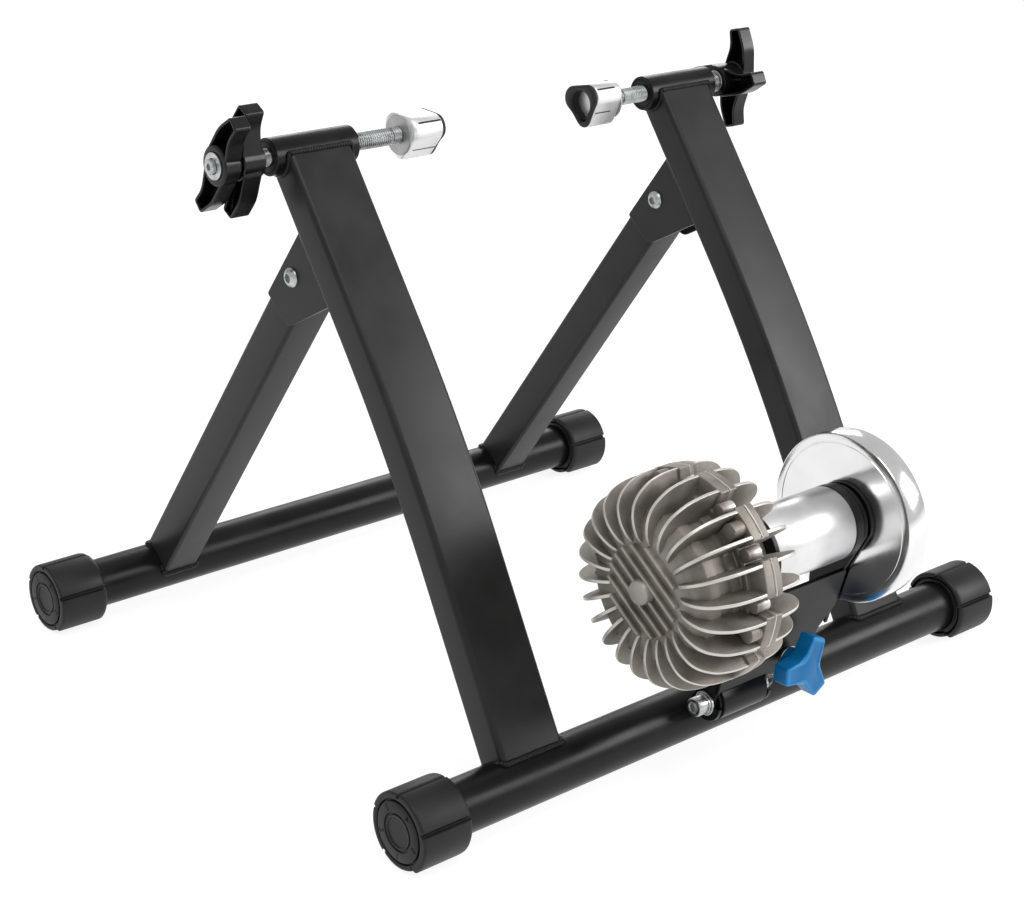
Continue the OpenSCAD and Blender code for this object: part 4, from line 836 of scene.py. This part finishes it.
def fin(outer, inner, tip=1.15, root=1.8, rounding=0.5):
    """A fin between two curves (x, radius): across it, the half width goes from `root` on the
    inner curve to `tip` near the outer one and closes over it in an arc."""
    outer, inner = np.asarray(outer, float), np.asarray(inner, float)
    depth = np.linalg.norm(inner - outer, axis=1)[:, None]
    arc = np.radians(np.linspace(0, 180, 9))
    left = -(tip - rounding) - rounding * np.cos(arc[:5])
    right = (tip - rounding) - rounding * np.cos(arc[4:])
    width = np.concatenate([[-root, -(tip + root) / 2], left, right, [(tip + root) / 2, root]])
    sink = np.concatenate([rounding * (1 - np.sin(arc[:5])), rounding * (1 - np.sin(arc[4:]))])
    columns = []
    for w, d in zip(width, [None, None, *sink, None, None]):
        share = d / depth if d is not None else 1.0 if abs(w) == root else 0.5
        at = outer + (inner - outer) * share
        columns.append(np.stack([at[:, 0], np.full(len(at), w), at[:, 1]], -1))
    bright = np.concatenate([[0, 0.0], 1 - sink / rounding, [0.0, 0]])
    bright = np.clip(bright * 1.4 - 0.3, 0, 0.8)
    return stacked(np.stack(columns, 1)), np.tile(bright, len(outer))


FINS = 24
fin_turns = 5.5 + 360 / FINS * np.arange(FINS)
front_edge = spline([(-116, 31), (-118.5, 35), (-120.3, 41), (-120.8, 47), (-119.8, 53),
                     (-117.2, 58), (-113, 62), (-106, 66), (-99, 68), (-90, 69.3), (-81, 69.5),
                     (-73.4, 69.5)], 56)
root_edge = spline([(-113, 30), (-113, 33), (-113, 38), (-113, 43), (-112.6, 47), (-111.5, 49.4),
                    (-109, 50), (-104, 50), (-98, 50), (-90, 50), (-81, 50), (-73.4, 50)], 56)
front_fin, fin_bright = fin(front_edge, root_edge)
piece("housing_front_fins", about(front_fin, fin_turns), "cradle", cast_aluminium,
      "housing_front", angle=50, edge=np.tile(fin_bright, FINS))


def sector(x0, x1, inner=54, outer=69.8, width=19.8, soft=0.8):
    """Ring sector: a rounded rectangle (x, r) swept over an angle, closed at both ends."""
    outline = fillet([(x0, inner), (x1, inner), (x1, outer), (x0, outer)], [0.1, 0.1, soft, soft],
                     4)
    a = np.radians([-width / 2, *np.linspace(-width / 2 + 0.5, width / 2 - 0.5, 9), width / 2])
    shrink = np.array([0.6] + [0.0] * 9 + [0.6])
    r = outline[:, 1] - shrink[:, None] * (outline[:, 1] > (inner + outer) / 2)
    return stacked(np.stack([outline[:, 0] + 0 * r, -r * np.sin(a)[:, None],
                             r * np.cos(a)[:, None]], -1))


def lug(x_tip, x_end, radius, height, soft, foot=48.0):
    """Round lug along X at a height from the axis, its tip rounded, on a foot down to the
    drum; both drawn with z as the distance from the housing's axis."""
    rounding = [(x_tip + soft * (1 - math.cos(t)), radius - soft * (1 - math.sin(t)))
                for t in np.radians(np.linspace(0, 90, 5))]
    bar = revolve([(x_tip, 0)] + rounding + [(x_end, radius), (x_end, 0)], (0, height), 28)
    side = radius - 0.5
    box = [(-side, foot), (side, foot), (side, height), (-side, height)]
    return join([bar, prism(box, x_tip + 1.6, x_end)])


def joint_edge(points, near):
    """1 where a point is near the joint and more than 60 mm from the axis, otherwise 0."""
    return near * (np.hypot(points[:, 1] - ROLLER[0], points[:, 2] - ROLLER[1]) > 60) * 1.0


drum = revolve([(-115.4, 0), (-115.4, 31.2), (-115.3, 33.0), (-115.2, 43.0), (-114.6, 44.2),
                (-109.6, 50.4), (-108.6, 50.8), (-101.2, 50.8), (-100.2, 49.6), (-92.2, 49.6),
                (-91.2, 52.0), (-84.6, 52.0), (-84.0, 52.6), (-84.0, 56.3), (-83.4, 57.0),
                (-73.4, 57.0), (-73.4, 46.0), (-91.5, 46.0), (-91.5, 36.0), (-108.5, 36.0),
                (-108.5, 0)], ROLLER, 144)
boss = revolve([(-116, 0), (-116, 8.9), (-117.6, 8.8), (-118.4, 8.2), (-121.2, 7.9),
                (-121.8, 7.5), (-122, 6.8), (-122, 0)], ROLLER, 72)
PATCH_RADIUS, RIB_PITCH, RIB_SLOPE = 29.6, 8.4, -55.0
arch = np.radians(np.linspace(0, 180, 11))
rib_section = np.concatenate([np.stack([-3.7 * np.sin(arch) ** 0.35, 1.15 * np.cos(arch)], -1),
                              [[0.6, -1.6], [0.6, 1.6]]])
patch = []
for k in range(-3, 4):
    reach = math.sqrt(PATCH_RADIUS ** 2 - (k * RIB_PITCH) ** 2)
    for low, high in ((-reach, -7.2), (7.2, reach)) if k == 0 else ((-reach, reach),):
        path = [(-115.6, k * RIB_PITCH, run) for run in np.linspace(low, high, 14)]
        patch.append(about(sweep(rib_section, path, (1, 0, 0)), [RIB_SLOPE]))
screw_turns = 43 + 60 * np.arange(6)
bridge_turns = 13 + 30 * np.arange(12)
body_shape = join([drum, boss] + patch)
ridge = np.clip((-118.6 - body_shape[0][:, 0]) / 0.6, 0, 1)
piece("housing_front_body", body_shape, "cradle", cast_aluminium, angle=35, edge=ridge * 0.42)
lug_shape = join([about(sector(-80.6, -73.4), bridge_turns),
                  about(lug(-90, -78, 5.4, 63.6, 0.5), screw_turns),
                  about(lug(-84.5, -73.4, 4.5, 60.8, 0.7), bridge_turns + 15)])
piece("housing_front_lugs", lug_shape, "cradle", cast_aluminium, angle=35,
      edge=joint_edge(lug_shape[0], lug_shape[0][:, 0] > -73.5))


# Brake housing, rear half
# The second casting: a shallow cover with 24 tongue-shaped fins, bridges that
# match the front half's, and a hub round the left bearing. Six black socket
# screws pass through every second bridge, and a gasket lies in the joint.
rear_edge = spline([(-72.6, 69.5), (-66, 69.3), (-59, 68.8), (-53, 67.6), (-48, 65.6),
                    (-44.4, 62.6), (-42.4, 58.8), (-42, 55), (-44, 51)], 40)
rear_root = spline([(-72.6, 46), (-68, 45.5), (-64, 45), (-60, 45), (-56, 45), (-53, 45),
                    (-51.4, 45), (-50.6, 45.4), (-50, 46)], 40)
rear_fin, rear_bright = fin(rear_edge, rear_root)
piece("housing_rear_fins", about(rear_fin, fin_turns), "cradle", cast_aluminium,
      "housing_rear", angle=50, edge=np.tile(rear_bright, FINS))
cover = revolve([(-72.6, 42), (-72.6, 57), (-68.2, 57), (-67.6, 56.4), (-67.6, 48.6),
                 (-67.2, 48), (-57.2, 48), (-56.6, 47.6), (-51, 40.4), (-50.6, 39.8),
                 (-50.6, 21.6), (-50, 21), (-28.6, 21), (-28, 20.4), (-28, 14.1), (-62, 14.1),
                 (-62, 42), (-72.6, 42)], ROLLER, 144)
rear_shape = join([cover, about(sector(-66.7, -72.6), bridge_turns)])
piece("housing_rear_body", rear_shape, "cradle", cast_aluminium, angle=35,
      edge=joint_edge(rear_shape[0], rear_shape[0][:, 0] < -71.8))
piece("housing_joint_seal", revolve([(-73.4, 47), (-73.4, 56.6), (-72.6, 56.6), (-72.6, 47),
                                     (-73.4, 47)], ROLLER, 96), "cradle", liner_rubber,
      "housing_gasket")
black_oxide = surface("Black oxide", "zinc", (0.012, 0.012, 0.013), (0.025, 0.025, 0.027),
                      (0.3, 0.4), cloud=200, grain=1500, bump=0.1, depth=0.05, metallic=0.4)
screw = revolve([(-83, 0), (-83, 2), (-66.7, 2), (-66.7, 3.3), (-66.4, 3.5), (-63.1, 3.5),
                 (-62.7, 3.2), (-62.7, 2.1), (-63, 3, 1.7), (-65.1, 3, 1.7), (-65.1, 0)],
                (0, 63.0), 36)
piece("housing_socket_screws", about(screw, screw_turns), "cradle", black_oxide,
      "housing_screws", angle=30)


# Tension adjuster
# A bolt fixed in a welded post passes through the cradle's plate. A spring
# pushes the plate off, and the blue knob with its zinc washer and saddle
# draws it in, which sets how hard the roller presses on the tyre.
AX, AZ = 23.2, 64.3


def sideways(shape):
    """The shape with x and y exchanged."""
    return shape[0][:, [1, 0, 2]], shape[1]


def along_bolt(profile, steps):
    """A profile turned about the bolt's Y axis, its y measured from the floor tube's axis."""
    return sideways(revolve(profile, (AX, AZ), steps, REAR[0]))


post = fillet([(AX - 11, 26), (AX + 11, 26), (AX + 11, 75.3), (AX - 11, 75.3)], [0, 0, 4, 4])
piece("adjuster_post_plate", sideways(prism(post, REAR[0] - 6, REAR[0] - 2)), "stand",
      black_coat, "adjuster_post", angle=30, bevel=0.5)
piece("adjuster_bolt_bar", join([
    along_bolt([(-57.5, 0), (-58, 3.3), (-57.2, 4), (-2, 4), (-2, 0)], 48),
    along_bolt([(-2, 0), (-2, 9, 6.0), (-1.6, 9, 6.4), (2.6, 9, 6.4), (3, 9, 6.0), (3, 0)], 72)]),
      "stand", zinc, "adjuster_bolt", angle=30)
coil_turns = np.concatenate([[-0.13], np.linspace(0, 6, 6 * 28 + 1), [6.13]])
coil_y = np.concatenate([[-6.35], np.linspace(-7.9, -24.3, len(coil_turns) - 2), [-25.9]])
coil = around(coil_y + REAR[0], 6.7, 2 * np.pi * coil_turns, (AX, AZ))[:, [1, 0, 2]]
wire_a = np.linspace(0, 2 * np.pi, 14, endpoint=False)
piece("adjuster_coil", sweep(0.8 * np.stack([np.cos(wire_a), np.sin(wire_a)], -1), coil,
                             (0, 1, 0)), "stand", zinc, "adjuster_spring")
piece("adjuster_washer_ring", join([
    along_bolt([(-45, 4.1), (-45, 9.3), (-44.6, 9.75), (-43.8, 9.75), (-43.4, 9.4), (-43.4, 4.1),
                (-45, 4.1)], 80),
    along_bolt([(-43.4, 4.1), (-43.4, 7.9), (-41.4, 7.8), (-40.3, 6.2), (-39.8, 4.1),
                (-43.4, 4.1)], 64)]),
      "adjuster_washer", zinc, "adjuster_washer", "adjuster_saddle", angle=30)
# The lighter edge colour is a painted highlight along the knob's rounded rims, set by the third
# column of knob_rows.
blue_plastic = surface("Blue plastic", "blue_plastic", (0.001, 0.11, 0.29), (0.002, 0.13, 0.33),
                       (0.34, 0.44), cloud=80, grain=1200, bump=0.12, depth=0.06, specular=0.3,
                       edge=(0.01, 0.2, 0.5), edge_rough=0.36)
knob_a = np.linspace(0, 2 * np.pi, 240, endpoint=False)
wings = []
for wing, valley in ((-58, 5), (68, 123.5), (179, 240.5)):
    tip, flat = unit(wing), unit(wing + 90)
    wings += [22.4 * tip - 6 * flat, 22.4 * tip + 6 * flat, 10.2 * unit(valley)]
knob_r = polar(dense(fillet(wings, [1.6, 1.6, 11] * 3, 8), 0.25), knob_a)
# distance from the floor tube's axis, radius, share of the lighter edge colour (a painted highlight
# on the rounded rims)
knob_rows = [(-45.0, 0, 0), (-45.0, 8.2, 0), (-45.4, 9.0, 0), (-50.2, 9.2, 0), (-51.0, 9.8, 0),
             (-51.0, knob_r - 1.6, 0.3), (-51.3, knob_r - 0.7, 0.8), (-52.0, knob_r - 0.1, 0.4),
             (-53, knob_r, 0), (-61.4, knob_r, 0), (-62.6, knob_r - 0.3, 0.6),
             (-63.3, knob_r - 1.0, 1), (-63.6, knob_r - 2.0, 0.8), (-63.2, knob_r - 4.0, 0.1),
             (-62.9, 7.6, 0), (-63.3, 6.6, 0), (-63.3, 0, 0)]
knob = stacked([around(y + REAR[0], r, knob_a, (AX, AZ)) for y, r, edge in knob_rows], False)
piece("tension_knob", sideways(knob), "adjuster_knob", blue_plastic,
      "adjuster_knob", "adjuster_knob_nut", angle=60,
      edge=np.repeat([edge for y, r, edge in knob_rows], len(knob_a)))
steel = surface("Ground steel", "steel", (0.45, 0.45, 0.46), (0.55, 0.55, 0.56), (0.25, 0.35),
                cloud=100, grain=1200, bump=0.1, depth=0.05, metallic=1.0)
for name, look in (("roller_bearings", steel), ("shaft_seal", liner_rubber),
                   ("impeller", cast_aluminium), ("fold_sleeves", black_coat)):
    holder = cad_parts[name]
    holder.data.materials.clear()
    holder.data.materials.append(look[0])


# Studio
# White floor and surround with soft boxes, and the photograph's camera.
world = bpy.data.worlds.new("Studio")
world.use_nodes = True
fill(world.node_tree, world.node_tree.nodes["Background"],
     {"Color": (1, 1, 1, 1), "Strength": 0.62})
bpy.context.scene.world = world
floor_paint = surface("Studio floor", None, 0.24, 0.26, (0.85, 0.95), cloud=3, grain=60,
                      bump=0.02, depth=0.2, specular=0.1)[0]
fill(floor_paint.node_tree, floor_paint.node_tree.nodes["Principled BSDF"],
     {"Emission Color": (1, 1, 1, 1), "Emission Strength": 0.86})
floor_mesh = bpy.data.meshes.new("floor")
floor_mesh.from_pydata([(x, y, -0.0005) for x, y in rectangle(30, 30)], [], [(0, 1, 2, 3)])
floor_mesh.materials.append(floor_paint)
floor = bpy.data.objects.new("floor", floor_mesh)
bpy.context.scene.collection.objects.link(floor)


def soft_box(name, place, aim, size, power):
    """Square area light at a place, turned to face a point."""
    data = bpy.data.lights.new(name, "AREA")
    data.shape = "RECTANGLE"
    data.size, data.size_y = size
    data.energy = power
    light = bpy.data.objects.new(name, data)
    way = (np.array(aim) - np.array(place)).astype(float)
    way /= np.linalg.norm(way)
    right = np.cross(way, (0, 0, 1.0))
    right /= np.linalg.norm(right)
    up = np.cross(right, way)
    turn = np.eye(4)
    turn[:3, 0], turn[:3, 1], turn[:3, 2], turn[:3, 3] = right, up, -way, place
    light.matrix_world = Matrix(turn.tolist())
    bpy.context.scene.collection.objects.link(light)


soft_box("Key box", (-0.3, -1.0, 2.3), (0, 0, 0.15), (1.5, 1.1), 20)
soft_box("Front box", (1.45, -1.5, 1.1), (0, 0, 0.2), (1.1, 0.9), 28)
soft_box("Back box", (1.5, 1.7, 1.1), (0, 0, 0.2), (1.3, 1.0), 12)
camera_data = bpy.data.cameras.new("Camera")
camera_data.lens = 75.881
camera_data.sensor_width = 36
camera_data.shift_y = -0.0488
camera_data.clip_end = 100
camera = bpy.data.objects.new("Camera", camera_data)
camera.matrix_world = (Matrix.Translation((-0.96929, -1.0634, 0.7117))
                       @ Matrix.Rotation(math.radians(-41.133), 4, "Z")
                       @ Matrix.Rotation(math.radians(90 - 19.838), 4, "X")
                       @ Matrix.Rotation(math.radians(0.983), 4, "Z"))
bpy.context.scene.collection.objects.link(camera)
bpy.context.scene.camera = camera
bpy.context.scene.view_settings.view_transform = "Standard"
